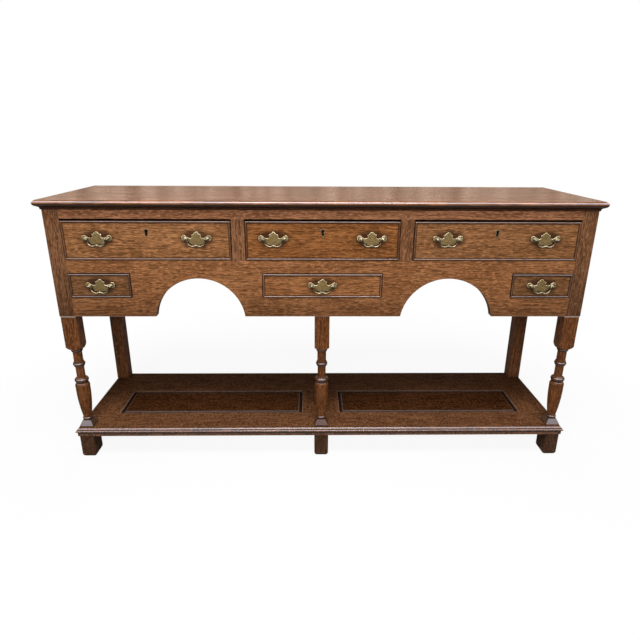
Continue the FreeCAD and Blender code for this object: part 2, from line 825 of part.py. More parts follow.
def leg_outline(tenon_top):
    """The right-hand half of a leg, from the spigot up; tenon_top is the height where it ends."""
    neck = dims.upper_neck_radius
    waist = dims.lower_neck_radius
    base = dims.baluster_foot_radius
    ring_low = base_high + dims.base_ring_groove
    ring_high = ring_low + dims.base_ring_height
    shoulder_high = case_bottom - dims.leg_block_length
    shoulder_low = shoulder_high - dims.leg_shoulder_length
    middle_high = shoulder_low - dims.top_ring_height - dims.upper_neck_length
    middle_bead_low = middle_high - dims.middle_fillet_height - dims.middle_ring_height
    middle_low = middle_bead_low - dims.middle_fillet_height
    collar_high = middle_low - dims.lower_neck_length
    collar_low = collar_high - dims.collar_bead_height
    baluster_high = collar_low - dims.collar_fillet_height
    belly = baluster_high - dims.baluster_shoulder
    corners = [
        (ZERO, spigot_low),
        (dims.leg_tenon_radius, spigot_low),
        (dims.leg_tenon_radius, dims.pot_board_top),
        (base, dims.pot_board_top),
        (base, ring_low),
    ]
    bead(corners, dims.base_ring_radius, dims.base_ring_height)
    corners += [
        (base, ring_high),
        (dims.baluster_radius, belly, (belly - ring_high) / 40),
        (dims.baluster_radius - dims.baluster_shoulder / 4, baluster_high, dims.baluster_shoulder / 8),
        (dims.collar_fillet_radius, baluster_high),
        (dims.collar_fillet_radius, collar_low),
    ]
    bead(corners, dims.collar_radius, dims.collar_bead_height)
    corners += [
        (waist + dims.collar_fillet_height / 2, collar_high),
        (waist, collar_high + dims.collar_fillet_height, -dims.collar_fillet_height / 5),
        (waist, middle_low),
        (dims.middle_fillet_radius, middle_low),
        (dims.middle_fillet_radius, middle_bead_low),
    ]
    bead(corners, dims.middle_ring_radius, dims.middle_ring_height)
    corners += [
        (dims.middle_fillet_radius, middle_high - dims.middle_fillet_height),
        (dims.middle_fillet_radius, middle_high),
        (neck, middle_high),
        (neck, shoulder_low - dims.top_ring_height),
    ]
    bead(corners, dims.top_ring_radius, dims.top_ring_height)
    corners += [
        (neck, shoulder_low),
        (leg_stock, shoulder_high, dims.leg_shoulder_length / 4),
        (leg_stock, tenon_top),
        (ZERO, tenon_top),
    ]
    return tidy_outline(corners)


def tidy_outline(corners):
    """Drops a corner that only repeats the place of the one before it."""
    kept = [corners[0]]
    for corner in corners[1:]:
        step = [abs(as_size(corner[axis]).value - as_size(kept[-1][axis]).value) for axis in (0, 1)]
        if max(step) > TOUCH:
            kept.append(corner)
    return kept


def leg_stick(x, high):
    """The square stock that a leg is turned from, with softened corners."""
    half = dims.leg_square / 2
    stick = block((x - half, x + half), (leg_y - half, leg_y + half), (spigot_low, high))
    return softened(stick, dims.arris_radius, lambda edge: runs_along(edge, "z"))


def square_taper(x, low, high, low_square, high_square):
    """A four-sided taper on the axis of a leg, from one square up to another."""
    low_half = low_square / 2
    high_half = high_square / 2
    return wedge(low, high, (x - low_half, x + low_half), (x - high_half, x + high_half),
                 (-leg_y - low_half, -leg_y + low_half), (-leg_y - high_half, -leg_y + high_half), TURN_UP)


leg_places = {"left": -leg_middle, "centre": ZERO, "right": leg_middle}
for name, x in leg_places.items():
    turned = place(turning(leg_outline(case_bottom)), x, leg_y, ZERO)
    leg = common(leg_stick(x, case_bottom), turned)
    base_block = square_taper(x, dims.pot_board_top, base_low, dims.base_square, dims.base_square)
    base = square_taper(x, base_low, base_high, dims.base_square, dims.base_top_square)
    leg = fuse(leg, base_block, base)
    if name == "centre":
        half = dims.leg_square / 2
        top_joint_piece = block((x - half, x + half), (rail_back, leg_y + half),
                                (case_bottom, case_bottom + dims.leg_lap_height))
    else:
        top_joint_piece = rod("z", (x, leg_y, case_bottom), dims.leg_tenon_length, dims.leg_tenon_radius)
    piece(f"front_leg_{name}", fuse(leg, top_joint_piece))

# Front feet: blocks with worn, rounded toes, bored for the leg spigots; the end ones stand further out

feet = []
foot_outsets = {"left": -dims.foot_outset, "centre": ZERO, "right": dims.foot_outset}
foot_front = front - dims.foot_forward
for name, x in leg_places.items():
    middle = x + foot_outsets[name]
    foot = block((middle - dims.foot_width / 2, middle + dims.foot_width / 2),
                 (foot_front, foot_front + dims.foot_depth), (ZERO, pot_under))
    foot = softened(foot, dims.foot_corner_radius,
                    lambda edge: not lies_at(edge, "z", ZERO) and not lies_at(edge, "z", pot_under))
    foot = softened(foot, dims.foot_toe_radius, lambda edge: lies_at(edge, "z", ZERO))
    bore_low = spigot_low - dims.tenon_end_gap
    feet.append(cut(foot, rod("z", (x, leg_y, bore_low), pot_under - bore_low, leg_bore)))
piece("front_feet", group(*feet))

# Pot board: a grooved frame with a moulded front and ends, and two panels let in

pot_front = front - dims.pot_front_overhang
pot_half = half_width + dims.pot_end_overhang
pot_open_front = pot_front + dims.pot_front_rail_width
pot_open_back = pot_open_front + dims.pot_panel_opening
pot_open_outer = pot_half - dims.pot_end_rail_width
pot_open_inner = dims.pot_muntin_width / 2
pot_panel_high = dims.pot_board_top - dims.pot_panel_recess
pot_panel_z = (pot_panel_high - dims.pot_panel_thickness, pot_panel_high)
pot_z = (pot_under, dims.pot_board_top)
pot_groove_half = pot_half - dims.pot_groove_stop
pot_groove_front = (pot_open_front - dims.pot_groove, pot_open_front)
pot_groove_back = (pot_open_back, pot_open_back + dims.pot_groove)


def pot_edge(edge, sign):
    """The moulded edge from the underside up: a fascia, a quirk, a bead and a thumb moulding."""
    thumb = dims.pot_thumb_radius
    bead_high = dims.pot_board_top - thumb
    bead_low = bead_high - dims.pot_bead_height
    quirk_low = bead_low - dims.pot_quirk_height
    root = edge - dims.pot_bead_projection * sign
    fascia = edge - dims.pot_fascia_setback * sign
    quirk = fascia - dims.pot_quirk_depth * sign
    thumb_root = root - dims.pot_thumb_step * sign
    return [
        (fascia, pot_under),
        (fascia, quirk_low),
        (quirk, quirk_low),
        (quirk, bead_low),
        (root, bead_low),
        (root, bead_high, dims.pot_bead_projection),
        (thumb_root, bead_high),
        (thumb_root - thumb * sign, dims.pot_board_top, thumb * QUARTER_BULGE),
    ]


pot_section = pot_edge(pot_half, 1) + backwards(pot_edge(-pot_half, -1))
pot_run = backwards(pot_edge(pot_front, -1))
pot_run += [(pot_open_front, pot_under), (pot_open_front, dims.pot_board_top)]


def panel_round(axis, level, sign, low, high):
    """What is planed off to round a frame edge along a panel; sign says where the wood lies."""
    radius = dims.pot_frame_round
    top = dims.pot_board_top
    hollow = -radius * QUARTER_BULGE
    if sign < 0:
        outline = [(level, top), (level - radius, top), (level, top - radius, hollow)]
    else:
        outline = [(level, top), (level, top - radius), (level + radius, top, hollow)]
    return prism(axis, outline, low, high)


front_rail = common(prism("y", pot_section, pot_front, pot_open_front),
                    prism("x", pot_run, -pot_half, pot_half))
leg_holes = [rod("z", (x, leg_y, pot_under), dims.pot_board_thickness, leg_bore)
             for x in leg_places.values()]
front_groove = block((-pot_groove_half, pot_groove_half), pot_groove_front, pot_panel_z)
panel_spans = [span(side, pot_open_inner, pot_open_outer) for side in SIDES]
front_rounds = [panel_round("x", pot_open_front, -1, *panel_span) for panel_span in panel_spans]
piece("pot_board_front_rail", cut(front_rail, front_groove, *leg_holes, *front_rounds))

back_rail = prism("y", pot_section, pot_open_back, back)
back_groove = block((-pot_groove_half, pot_groove_half), pot_groove_back, pot_panel_z)
post_notches = [block(span(side, post_inner, pot_half), (post_front, back), pot_z) for side in SIDES]
back_rounds = [panel_round("x", pot_open_back, 1, *panel_span) for panel_span in panel_spans]
piece("pot_board_back_rail", cut(back_rail, back_groove, *post_notches, *back_rounds))

tongue_y = (pot_groove_front[0] + dims.pot_panel_play, pot_groove_back[1] - dims.pot_panel_play)
end_rails = []
for side, sign in SIDES.items():
    inner = pot_open_outer * sign
    edge = pot_edge(pot_half * sign, sign)
    if side == "left":
        outline = backwards(edge) + [(inner, pot_under), (inner, dims.pot_board_top)]
    else:
        outline = edge + [(inner, dims.pot_board_top), (inner, pot_under)]
    rail = prism("y", outline, pot_open_front, pot_open_back)
    tongue = block(span(side, pot_open_outer, pot_groove_half - dims.pot_panel_play), tongue_y, pot_panel_z)
    groove = block(span(side, pot_open_outer, pot_open_outer + dims.pot_groove), tongue_y, pot_panel_z)
    inner_round = panel_round("y", inner, sign, pot_open_front, pot_open_back)
    end_rails.append(cut(fuse(rail, tongue), groove, inner_round))
piece("pot_board_end_rails", group(*end_rails))

muntin = block((-pot_open_inner, pot_open_inner), (pot_open_front, pot_open_back), pot_z)
muntin = fuse(muntin, block((-pot_open_inner, pot_open_inner), tongue_y, pot_panel_z))
muntin_grooves = [block(span(side, pot_open_inner - dims.pot_groove, pot_open_inner), tongue_y, pot_panel_z)
                  for side in SIDES]
muntin_rounds = [panel_round("y", pot_open_inner * sign, -sign, pot_open_front, pot_open_back)
                 for sign in SIDES.values()]
piece("pot_board_muntin", cut(muntin, *muntin_grooves, *muntin_rounds))

panel_x = (pot_open_inner - dims.pot_groove + dims.pot_panel_play,
           pot_open_outer + dims.pot_groove - dims.pot_panel_play)
field_x = reach(pot_open_inner, pot_open_outer, -dims.pot_panel_margin)
field_y = reach(pot_open_front, pot_open_back, -dims.pot_panel_margin)
field_top = pot_panel_high + dims.pot_panel_field_rise
panels = []
for side in SIDES:
    field = block(span(side, *field_x), field_y, (pot_panel_high, field_top))
    field = softened(field, dims.pot_panel_field_round, lambda edge: lies_at(edge, "z", field_top))
    panels.append(fuse(block(span(side, *panel_x), tongue_y, pot_panel_z), field))
piece("pot_board_panels", group(*panels))

# Brass back plate: a shaped plate with a crest, two ears and a lobe round each post

HALF_PLATE = (
    # across as a share of half the width, up as a share of the rise or the drop, bulge in half widths
    (0.207, -0.846, -0.009),
    (0.517, -0.436, 0.051),
    (0.621, -0.282, -0.016),
    (0.828, -0.297, 0.014),
    (1.000, 0.095, 0.055),
    (0.805, 0.500, 0.074),
    (0.632, 0.248, 0.023),
    (0.391, 0.114, -0.025),
    (0.290, 0.295, -0.018),
    (0.313, 0.581, 0.012),
    (0.211, 0.638, 0.020),
    (0.106, 0.876, 0.016),
)


def plate_outline():
    half = dims.plate_width / 2
    right = [(ZERO, -dims.plate_drop)]
    for across, up, bulge in HALF_PLATE:
        height = dims.plate_rise if up > 0 else dims.plate_drop
        right.append((half * across, height * up, half * bulge))
    crest = (ZERO, dims.plate_rise, half * HALF_PLATE[-1][2])
    left = [(-corner[0],) + tuple(corner[1:]) for corner in right]
    return right + [crest] + backwards(left + [crest])[1:-1]


def plate():
    blank = prism("y", plate_outline(), -dims.plate_thickness, ZERO)
    radius = dims.post_neck_radius + dims.post_clearance
    holes = [rod("y", (x, -dims.plate_thickness, ZERO), dims.plate_thickness, radius) for x in post_places]
    return cut(blank, *holes)


# Handle posts: a ball head bored for the bail, a collar on the plate, a shank through the drawer front

post_places = (-dims.post_spacing / 2, dims.post_spacing / 2)
shank_end = dims.drawer_front_thickness + dims.nut_height
bail_bore = dims.bail_pin_radius + dims.bail_pin_clearance


def handle_post(x):
    collar_back = -dims.plate_thickness
    collar_front = collar_back - dims.post_collar_height
    shank = rod("y", (x, -dims.post_reach, ZERO), dims.post_reach + shank_end, dims.post_neck_radius)
    collar = rod("y", (x, collar_front, ZERO), dims.post_collar_height, dims.post_collar_radius)
    body = fuse(ball("x", x, -dims.post_reach, ZERO, dims.post_head_radius), collar, shank)
    head = dims.post_head_radius
    return cut(body, rod("x", (x - head, -dims.post_reach, ZERO), head * 2, bail_bore))


def handle_nut(x):
    nut = rod("y", (x, dims.drawer_front_thickness, ZERO), dims.nut_height, dims.nut_radius)
    bore = dims.post_neck_radius + dims.post_clearance
    return cut(nut, rod("y", (x, dims.drawer_front_thickness, ZERO), dims.nut_height, bore))


handle_set = group(plate(), *[handle_post(x) for x in post_places], *[handle_nut(x) for x in post_places])

# Swan-neck bail: a bent rod that dips on either side of a small knop, hung on a pin in each post

bail_end = dims.post_spacing / 2 - dims.post_head_radius - dims.bail_post_gap - dims.bail_wire_radius
RISE_SINE = 0.42262          # slope of the rod, 25 degrees, where the dip turns into the middle arch
RISE_COSINE = 0.90631
DIP_BULGE = 0.46270          # rise of an arc over its chord as a share of its radius, for 115 degrees


def bail_line():
    """The middle line of the rod, from the right-hand post to the left: arm, dip, arch, dip, arm."""
    bend = dims.bail_bend_radius
    arm_end = bend - dims.bail_drop
    dip_end = (bail_end - bend - bend * RISE_SINE, arm_end - bend * RISE_COSINE)
    arch_radius = dip_end[0] / RISE_SINE
    arch_rise = arch_radius * (1 - RISE_COSINE)
    corners = [
        (bail_end, ZERO),
        (bail_end, arm_end),
        dip_end + (-bend * DIP_BULGE,),
        (-dip_end[0], dip_end[1], arch_rise),
        (-bail_end, arm_end, -bend * DIP_BULGE),
        (-bail_end, ZERO),
    ]
    return corners, dip_end[1] + arch_rise


def bail_shape():
    corners, knop_z = bail_line()
    wire = dims.bail_wire_radius
    body = doc.addObject("PartDesign::Body", "bail_rod")
    line = plane_sketch(body, "XZ_Plane")
    draw(line, corners, closed=False)
    ring = plane_sketch(body, "XY_Plane")
    ring.addGeometry(Part.Circle(FreeCAD.Vector(bail_end.value, 0, 0), FreeCAD.Vector(0, 0, 1), wire.value))
    ring.addConstraint([Sketcher.Constraint("Radius", 0, wire.value),
                        Sketcher.Constraint("DistanceX", -1, 1, 0, 3, bail_end.value),
                        Sketcher.Constraint("PointOnObject", 0, 3, -1)])
    for number, length in enumerate((wire, bail_end)):
        ring.setExpression(f"Constraints[{number}]", length.formula)
    pipe = body.newObject("PartDesign::AdditivePipe", "bent_rod")
    pipe.Profile = ring
    pipe.Spine = (line, [])
    pin_length = dims.post_spacing / 2 - bail_end
    knop = dims.bail_knop_radius
    collar = dims.bail_collar_width
    ends = []
    for sign in (-1, 1):
        ends.append(ball("z", bail_end * sign, ZERO, ZERO, wire))
        pin_start = bail_end if sign > 0 else -bail_end - pin_length
        ends.append(rod("x", (pin_start, ZERO, ZERO), pin_length, dims.bail_pin_radius))
        collar_start = (knop + collar) * sign - collar / 2
        ends.append(rod("x", (collar_start, ZERO, knop_z), collar, dims.bail_collar_radius))
    return fuse(body, *ends, ball("x", ZERO, ZERO, knop_z, knop))


bail_pattern = bail_shape()

# Keyhole liner: a brass thread let in round the keyhole

def keyhole(radius, slot_width, depth_from, depth_to):
    """A keyhole shape about its round part, run through a range of depth."""
    slot = (-slot_width / 2, slot_width / 2)
    drop = dims.keyhole_slot_drop + (radius - dims.keyhole_radius)
    return fuse(rod("y", (ZERO, depth_from, ZERO), depth_to - depth_from, radius),
                block(slot, (depth_from, depth_to), (-drop, ZERO)))


liner_radius = dims.keyhole_radius + dims.keyhole_liner
liner_slot = dims.keyhole_slot_width + dims.keyhole_liner * 2
liner_y = (-dims.keyhole_liner_proud, dims.keyhole_liner_depth)
liner_pattern = cut(keyhole(liner_radius, liner_slot, *liner_y),
                    keyhole(dims.keyhole_radius, dims.keyhole_slot_width, *liner_y))


def copy_at(pattern, x, y, z):
    item = doc.addObject("App::Link", "copy")
    item.LinkedObject = pattern
    return place(item, x, y, z)


# Drawers

def cock_beads(x, z):
    """Four mitred strips round a drawer front, each with a rounded nose."""
    width = dims.bead_width
    y = (front - dims.bead_proud, front + dims.bead_depth)
    turned_y = (-y[1], -y[0])
    inner_x = reach(*x, -width)
    inner_z = reach(*z, -width)
    strips = [
        wedge(z[0], inner_z[0], x, inner_x, turned_y, turned_y, TURN_UP),
        wedge(inner_z[1], z[1], inner_x, x, turned_y, turned_y, TURN_UP),
        wedge(x[0], inner_x[0], z, inner_z, y, y, TURN_ASIDE),
        wedge(inner_x[1], x[1], inner_z, z, y, y, TURN_ASIDE),
    ]
    return [softened(strip, dims.bead_nose_radius, bead_nose(y[0])) for strip in strips]


def bead_nose(nose_y):
    """Picks the two long edges at the front of a bead."""
    return lambda edge: lies_at(edge, "y", nose_y) and (runs_along(edge, "x") or runs_along(edge, "z"))


def inwards(face, depth):
    """The range that a groove takes up, from a face to a signed depth beyond it."""
    return (face, face + depth) if depth.value > 0 else (face + depth, face)


def drawer(name, x_opening, z_opening, top_gap, tails, handles, handle_share, locked):
    """A drawer for an opening, with handles at distances either side of its middle."""
    x = reach(*x_opening, -dims.drawer_side_gap)
    runner_top = z_opening[0]
    z = (runner_top + dims.drawer_foot_gap, z_opening[1] - top_gap)
    middle = opening_middle(x_opening)
    board_back = front + dims.drawer_front_thickness
    end = back_rail_front - dims.drawer_back_room
    side_z = (runner_top, z[1] - dims.drawer_side_drop)
    inner_x = reach(*x, -dims.drawer_side_thickness)
    side_ranges = ((x[0], inner_x[0]), (inner_x[1], x[1]))
    bottom_z = (runner_top + dims.drawer_bottom_rise,
                runner_top + dims.drawer_bottom_rise + dims.drawer_bottom_thickness)
    back_y = (end - dims.drawer_back_thickness, end)
    opening_height = z_opening[1] - runner_top
    handle_z = runner_top + opening_height * handle_share

    def tail_set(side_x):
        pitch = (side_z[1] - z[0]) / tails
        result = []
        for number in range(tails):
            level = z[0] + pitch * (number + 0.5)
            tip = pitch * dims.tail_tip_share / 2
            neck = pitch * dims.tail_neck_share / 2
            result.append(wedge(front + dims.dovetail_lap, board_back, side_x, side_x,
                                (level - tip, level + tip), (level - neck, level + neck)))
        return result

    face = fuse(block(x, (front + dims.bead_depth, board_back), z),
                block(reach(*x, -dims.bead_width), (front, board_back), reach(*z, -dims.bead_width)))
    sockets = [tail for side_x in side_ranges for tail in tail_set(side_x)]
    front_groove_y = (board_back - dims.drawer_bottom_groove, board_back)
    front_cuts = sockets + [block(inner_x, front_groove_y, bottom_z)]
    post_bore = dims.post_neck_radius + dims.post_clearance
    for handle in handles:
        for post_x in post_places:
            front_cuts.append(rod("y", (middle + handle + post_x, front, handle_z),
                                  dims.drawer_front_thickness, post_bore))
    if locked:
        key_z = runner_top + opening_height * dims.keyhole_share
        front_cuts.append(place(keyhole(liner_radius, liner_slot, ZERO, dims.drawer_front_thickness),
                                middle, front, key_z))
    piece(f"{name}_drawer_front", group(cut(face, *front_cuts), *cock_beads(x, z)))

    sides = []
    for side_x, outwards in zip(side_ranges, (-1, 1)):
        board = fuse(block(side_x, (board_back, end), side_z), *tail_set(side_x))
        inner_face = side_x[1] if outwards < 0 else side_x[0]
        housing = inwards(inner_face, dims.drawer_back_housing * outwards)
        groove = inwards(inner_face, dims.drawer_bottom_groove * outwards)
        sides.append(cut(board, block(groove, (board_back, end), bottom_z),
                         block(housing, back_y, (bottom_z[1], side_z[1]))))
    back_board = block(reach(*inner_x, dims.drawer_back_housing), back_y,
                       (bottom_z[1], side_z[1] - dims.drawer_back_drop))
    bottom = fuse(block(reach(*inner_x, dims.drawer_bottom_groove), (board_back, end), bottom_z),
                  block(inner_x, (front_groove_y[0], board_back), bottom_z))
    piece(f"{name}_drawer_box", group(*sides, back_board, bottom))

    brasses = [copy_at(handle_set, middle + handle, front, handle_z) for handle in handles]
    if locked:
        brasses.append(copy_at(liner_pattern, middle, front, key_z))
    piece(f"{name}_drawer_brasses", group(*brasses))
    for number, handle in enumerate(handles, 1):
        bail = copy_at(bail_pattern, middle + handle, front - dims.post_reach, handle_z)
        piece(f"{name}_bail_{number}" if len(handles) > 1 else f"{name}_bail", bail)

    if locked:
        lock_x = (middle - dims.lock_width / 2, middle + dims.lock_width / 2)
        case = block(lock_x, (board_back, board_back + dims.lock_depth), (key_z - dims.lock_drop, z[1]))
        bolt_z = (z[1] - dims.bolt_length, z[1])
        bolt_room = block(bolt_x(x_opening, dims.bolt_clearance), bolt_room_y,
                          (bolt_z[0] - dims.bolt_clearance, z[1]))
        key_hole = place(keyhole(dims.keyhole_radius, dims.keyhole_slot_width, ZERO, dims.lock_plate),
                         middle, board_back, key_z)
        piece(f"{name}_drawer_lock", cut(case, bolt_room, key_hole))
        piece(f"{name}_lock_bolt", block(bolt_x(x_opening), bolt_y, bolt_z))


pair = (-dims.handle_spacing / 2, dims.handle_spacing / 2)
for name, opening in deep_openings.items():
    drawer(f"deep_{name}", opening, (apron_top, deep_top), dims.deep_drawer_top_gap, 3, pair,
           dims.deep_handle_share, True)
for name, opening in small_openings.items():
    drawer(f"small_{name}", opening, (small_low, small_high), dims.small_drawer_top_gap, 2, (ZERO,),
           dims.small_handle_share, False)

# Checks, then one file for each sub-part

doc.recompute()
failed = [item.Label for item in doc.Objects if {"Invalid", "Error"} & set(item.State)]
for name, item in pieces.items():
    shape = Part.getShape(item)
    solids_sound = shape.Solids and all(solid.Volume > 0 for solid in shape.Solids)
    if shape.isNull() or not shape.isValid() or not solids_sound:
        failed.append(name)
if failed:
    raise RuntimeError("failed objects: " + ", ".join(failed))
os.makedirs("parts", exist_ok=True)
for name, item in pieces.items():
    Part.getShape(item).exportStep(f"parts/{name}.step")
print(len(pieces), "sub-parts written")
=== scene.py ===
import json
import math

import bmesh
import bpy
from mathutils import Matrix, Vector

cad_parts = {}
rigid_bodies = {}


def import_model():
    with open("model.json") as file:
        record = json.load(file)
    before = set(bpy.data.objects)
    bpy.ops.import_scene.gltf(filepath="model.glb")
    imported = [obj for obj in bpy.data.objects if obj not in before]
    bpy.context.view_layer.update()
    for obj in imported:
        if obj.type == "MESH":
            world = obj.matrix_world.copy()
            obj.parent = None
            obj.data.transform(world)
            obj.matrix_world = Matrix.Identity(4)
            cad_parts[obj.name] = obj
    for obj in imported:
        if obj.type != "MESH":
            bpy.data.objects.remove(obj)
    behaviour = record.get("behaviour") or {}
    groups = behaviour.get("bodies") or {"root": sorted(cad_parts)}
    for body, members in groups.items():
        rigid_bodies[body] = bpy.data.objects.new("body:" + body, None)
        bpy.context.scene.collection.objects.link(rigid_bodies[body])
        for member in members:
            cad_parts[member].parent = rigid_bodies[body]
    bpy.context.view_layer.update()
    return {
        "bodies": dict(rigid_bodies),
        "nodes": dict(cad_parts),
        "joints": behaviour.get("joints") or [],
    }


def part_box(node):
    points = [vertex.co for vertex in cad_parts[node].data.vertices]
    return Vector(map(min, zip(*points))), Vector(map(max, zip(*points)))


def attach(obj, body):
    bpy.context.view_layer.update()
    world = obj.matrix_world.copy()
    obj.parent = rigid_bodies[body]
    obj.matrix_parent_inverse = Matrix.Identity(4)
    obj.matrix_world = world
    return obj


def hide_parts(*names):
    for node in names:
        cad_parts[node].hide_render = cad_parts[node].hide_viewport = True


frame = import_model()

# Back posts
# Two square oak posts that run from the floor to the underside of the top. They are old oak, dark and
# dry at the back of the piece, grooved for the ends and mortised for the pot board and the back rails.


def put(tree, kind, inputs=None, **settings):
    """Adds a node. An input is a value to set or the output of another node to join to it."""
    item = tree.nodes.new(kind)
    for name, value in settings.items():
        setattr(item, name, value)
    for key, value in (inputs or {}).items():
        if isinstance(value, bpy.types.NodeSocket):
            tree.links.new(value, item.inputs[key])
        else:
            item.inputs[key].default_value = value
    return item


def maths(tree, operation, first, second=0.0):
    return put(tree, "ShaderNodeMath", {0: first, 1: second}, operation=operation).outputs[0]


def vectors(tree, operation, first, second):
    return put(tree, "ShaderNodeVectorMath", {0: first, 1: second}, operation=operation).outputs[0]


def spread(tree, value, low, high, to_low=0.0, to_high=1.0):
    """Turns a range of values into another, eased at both ends and held beyond them."""
    limits = {"Value": value, "From Min": low, "From Max": high, "To Min": to_low, "To Max": to_high}
    return put(tree, "ShaderNodeMapRange", limits, interpolation_type="SMOOTHSTEP").outputs[0]


def mixed(tree, share, first, second):
    return put(tree, "ShaderNodeMix", {0: share, 6: first, 7: second}, data_type="RGBA").outputs[2]


def noise(tree, vector, stretch, detail):
    """Noise with its own number of lumps to the metre along each axis."""
    stretched = vectors(tree, "MULTIPLY", vector, stretch)
    return put(tree, "ShaderNodeTexNoise", {"Vector": stretched, "Scale": 1.0, "Detail": detail})


def shader_group(name, takes, gives):
    """A node group with named inputs, each with its usual value, and named outputs."""
    kinds = {float: "NodeSocketFloat", tuple: "NodeSocketColor", Vector: "NodeSocketVector"}
    group = bpy.data.node_groups.new(name, "ShaderNodeTree")
    for label, value in takes.items():
        socket = group.interface.new_socket(label, in_out="INPUT", socket_type=kinds[type(value)])
        socket.default_value = value
    for label, kind in gives.items():
        group.interface.new_socket(label, in_out="OUTPUT", socket_type=kinds[kind])
    return group, put(group, "NodeGroupInput").outputs, put(group, "NodeGroupOutput").inputs


PALE_OAK = (0.38, 0.165, 0.066, 1.0)
BROWN_OAK = (0.25, 0.1, 0.038, 1.0)
DARK_OAK = (0.08, 0.028, 0.009, 1.0)

# How many lumps to the metre the figure of oak has along the grain and across it.
WANDER_LUMPS = (1.7, 6.0, 6.0)
RING_LUMPS = (3.0, 40.0, 40.0)
SHORT_FIBRE_LUMPS = (45.0, 400.0, 400.0)
LONG_FIBRE_LUMPS = (7.0, 340.0, 340.0)
PORE_LUMPS = (75.0, 1250.0, 1250.0)
FLECK_LUMPS = (70.0, 290.0, 290.0)
CLOUD_LUMPS = (6.0, 20.0, 20.0)

# The figure of oak about the heart of the tree, which runs along X: growth rings, fine fibres, open pores
# and the pale flecks of the rays.
oak_figure, given, gives = shader_group(
    "oak_figure",
    {"Along": Vector(), "Pale": PALE_OAK, "Brown": BROWN_OAK, "Dark": DARK_OAK, "Ring Width": 0.004,
     "Rings": 0.3, "Flecks": 0.6, "Pores": 0.5, "Fineness": Vector((1, 1, 1))},
    {"Color": tuple, "Fibres": float, "Relief": float})
wander = noise(oak_figure, given["Along"], WANDER_LUMPS, 2.0).outputs["Color"]
wander = vectors(oak_figure, "MULTIPLY", vectors(oak_figure, "SUBTRACT", wander, (0.5, 0.5, 0.5)),
                 (0.0, 0.055, 0.055))
bent = vectors(oak_figure, "ADD", given["Along"], wander)
across = vectors(oak_figure, "MULTIPLY", bent, (0.0, 1.0, 1.0))
from_heart = put(oak_figure, "ShaderNodeVectorMath", {0: across}, operation="LENGTH").outputs["Value"]
fine = vectors(oak_figure, "MULTIPLY", bent, given["Fineness"])
phase = maths(oak_figure, "DIVIDE", from_heart, given["Ring Width"])
phase = maths(oak_figure, "ADD", phase, noise(oak_figure, bent, RING_LUMPS, 2.0).outputs[0])
ring = spread(oak_figure, maths(oak_figure, "PINGPONG", phase, 0.5), 0.1, 0.5)
short_fibres = noise(oak_figure, fine, SHORT_FIBRE_LUMPS, 2.0).outputs[0]
long_fibres = noise(oak_figure, fine, LONG_FIBRE_LUMPS, 2.0).outputs[0]
fibres = spread(oak_figure, maths(oak_figure, "ADD", short_fibres, long_fibres), 0.72, 1.28)
pores = spread(oak_figure, noise(oak_figure, bent, PORE_LUMPS, 2.0).outputs[0], 0.54, 0.66)
flecks = spread(oak_figure, noise(oak_figure, fine, FLECK_LUMPS, 2.0).outputs[0], 0.5, 0.66)
cloud = spread(oak_figure, noise(oak_figure, bent, CLOUD_LUMPS, 3.0).outputs[0], 0.34, 0.68)
wood = mixed(oak_figure, maths(oak_figure, "MULTIPLY", cloud, 0.6), given["Brown"], given["Pale"])
late = maths(oak_figure, "MULTIPLY", ring, given["Rings"])
wood = mixed(oak_figure, late, wood, given["Dark"])
dark_fibres = maths(oak_figure, "MULTIPLY", maths(oak_figure, "SUBTRACT", 1.0, fibres), 0.9)
wood = mixed(oak_figure, dark_fibres, wood, given["Dark"])
wood = mixed(oak_figure, maths(oak_figure, "MULTIPLY", flecks, given["Flecks"]), wood, given["Pale"])
open_pores = maths(oak_figure, "MULTIPLY", pores, given["Pores"])
pore_tone = mixed(oak_figure, 0.5, given["Dark"], (0, 0, 0, 1))
oak_figure.links.new(mixed(oak_figure, open_pores, wood, pore_tone), gives["Color"])
oak_figure.links.new(fibres, gives["Fibres"])
relief = maths(oak_figure, "SUBTRACT", maths(oak_figure, "MULTIPLY", fibres, 0.5), open_pores)
relief = maths(oak_figure, "SUBTRACT", relief, maths(oak_figure, "MULTIPLY", ring, 0.2))
oak_figure.links.new(relief, gives["Relief"])

PATCH_LUMPS = (38.0, 38.0, 38.0)
CORNER_REACH = 0.035
SEAM_REACH = 0.006

# What handling and polish do to a surface: arrises rubbed pale, and the corners and the seams painted
# dark, as painted shade together with dark wax and dust.
patina_and_shade, given, gives = shader_group(
    "patina_and_shade",
    {"Color": BROWN_OAK, "Worn": PALE_OAK, "Shade And Grime": DARK_OAK, "Wear": 0.5, "Dirt And Shade": 0.6, "Arris": 0.004},
    {"Color": tuple, "Edges": float, "Shade And Dirt": float})
place = put(patina_and_shade, "ShaderNodeTexCoord").outputs["Object"]
round_normal = put(patina_and_shade, "ShaderNodeBevel", {"Radius": given["Arris"]}, samples=4).outputs[0]
true_normal = put(patina_and_shade, "ShaderNodeNewGeometry").outputs["Normal"]
bend = put(patina_and_shade, "ShaderNodeVectorMath", {0: round_normal, 1: true_normal}, operation="DOT_PRODUCT")
patches = noise(patina_and_shade, place, PATCH_LUMPS, 3.0).outputs[0]
edges = spread(patina_and_shade, maths(patina_and_shade, "SUBTRACT", 1.0, bend.outputs["Value"]), 0.01, 0.2)
edges = maths(patina_and_shade, "MULTIPLY", edges, spread(patina_and_shade, patches, 0.3, 0.62, 0.25, 1.0))
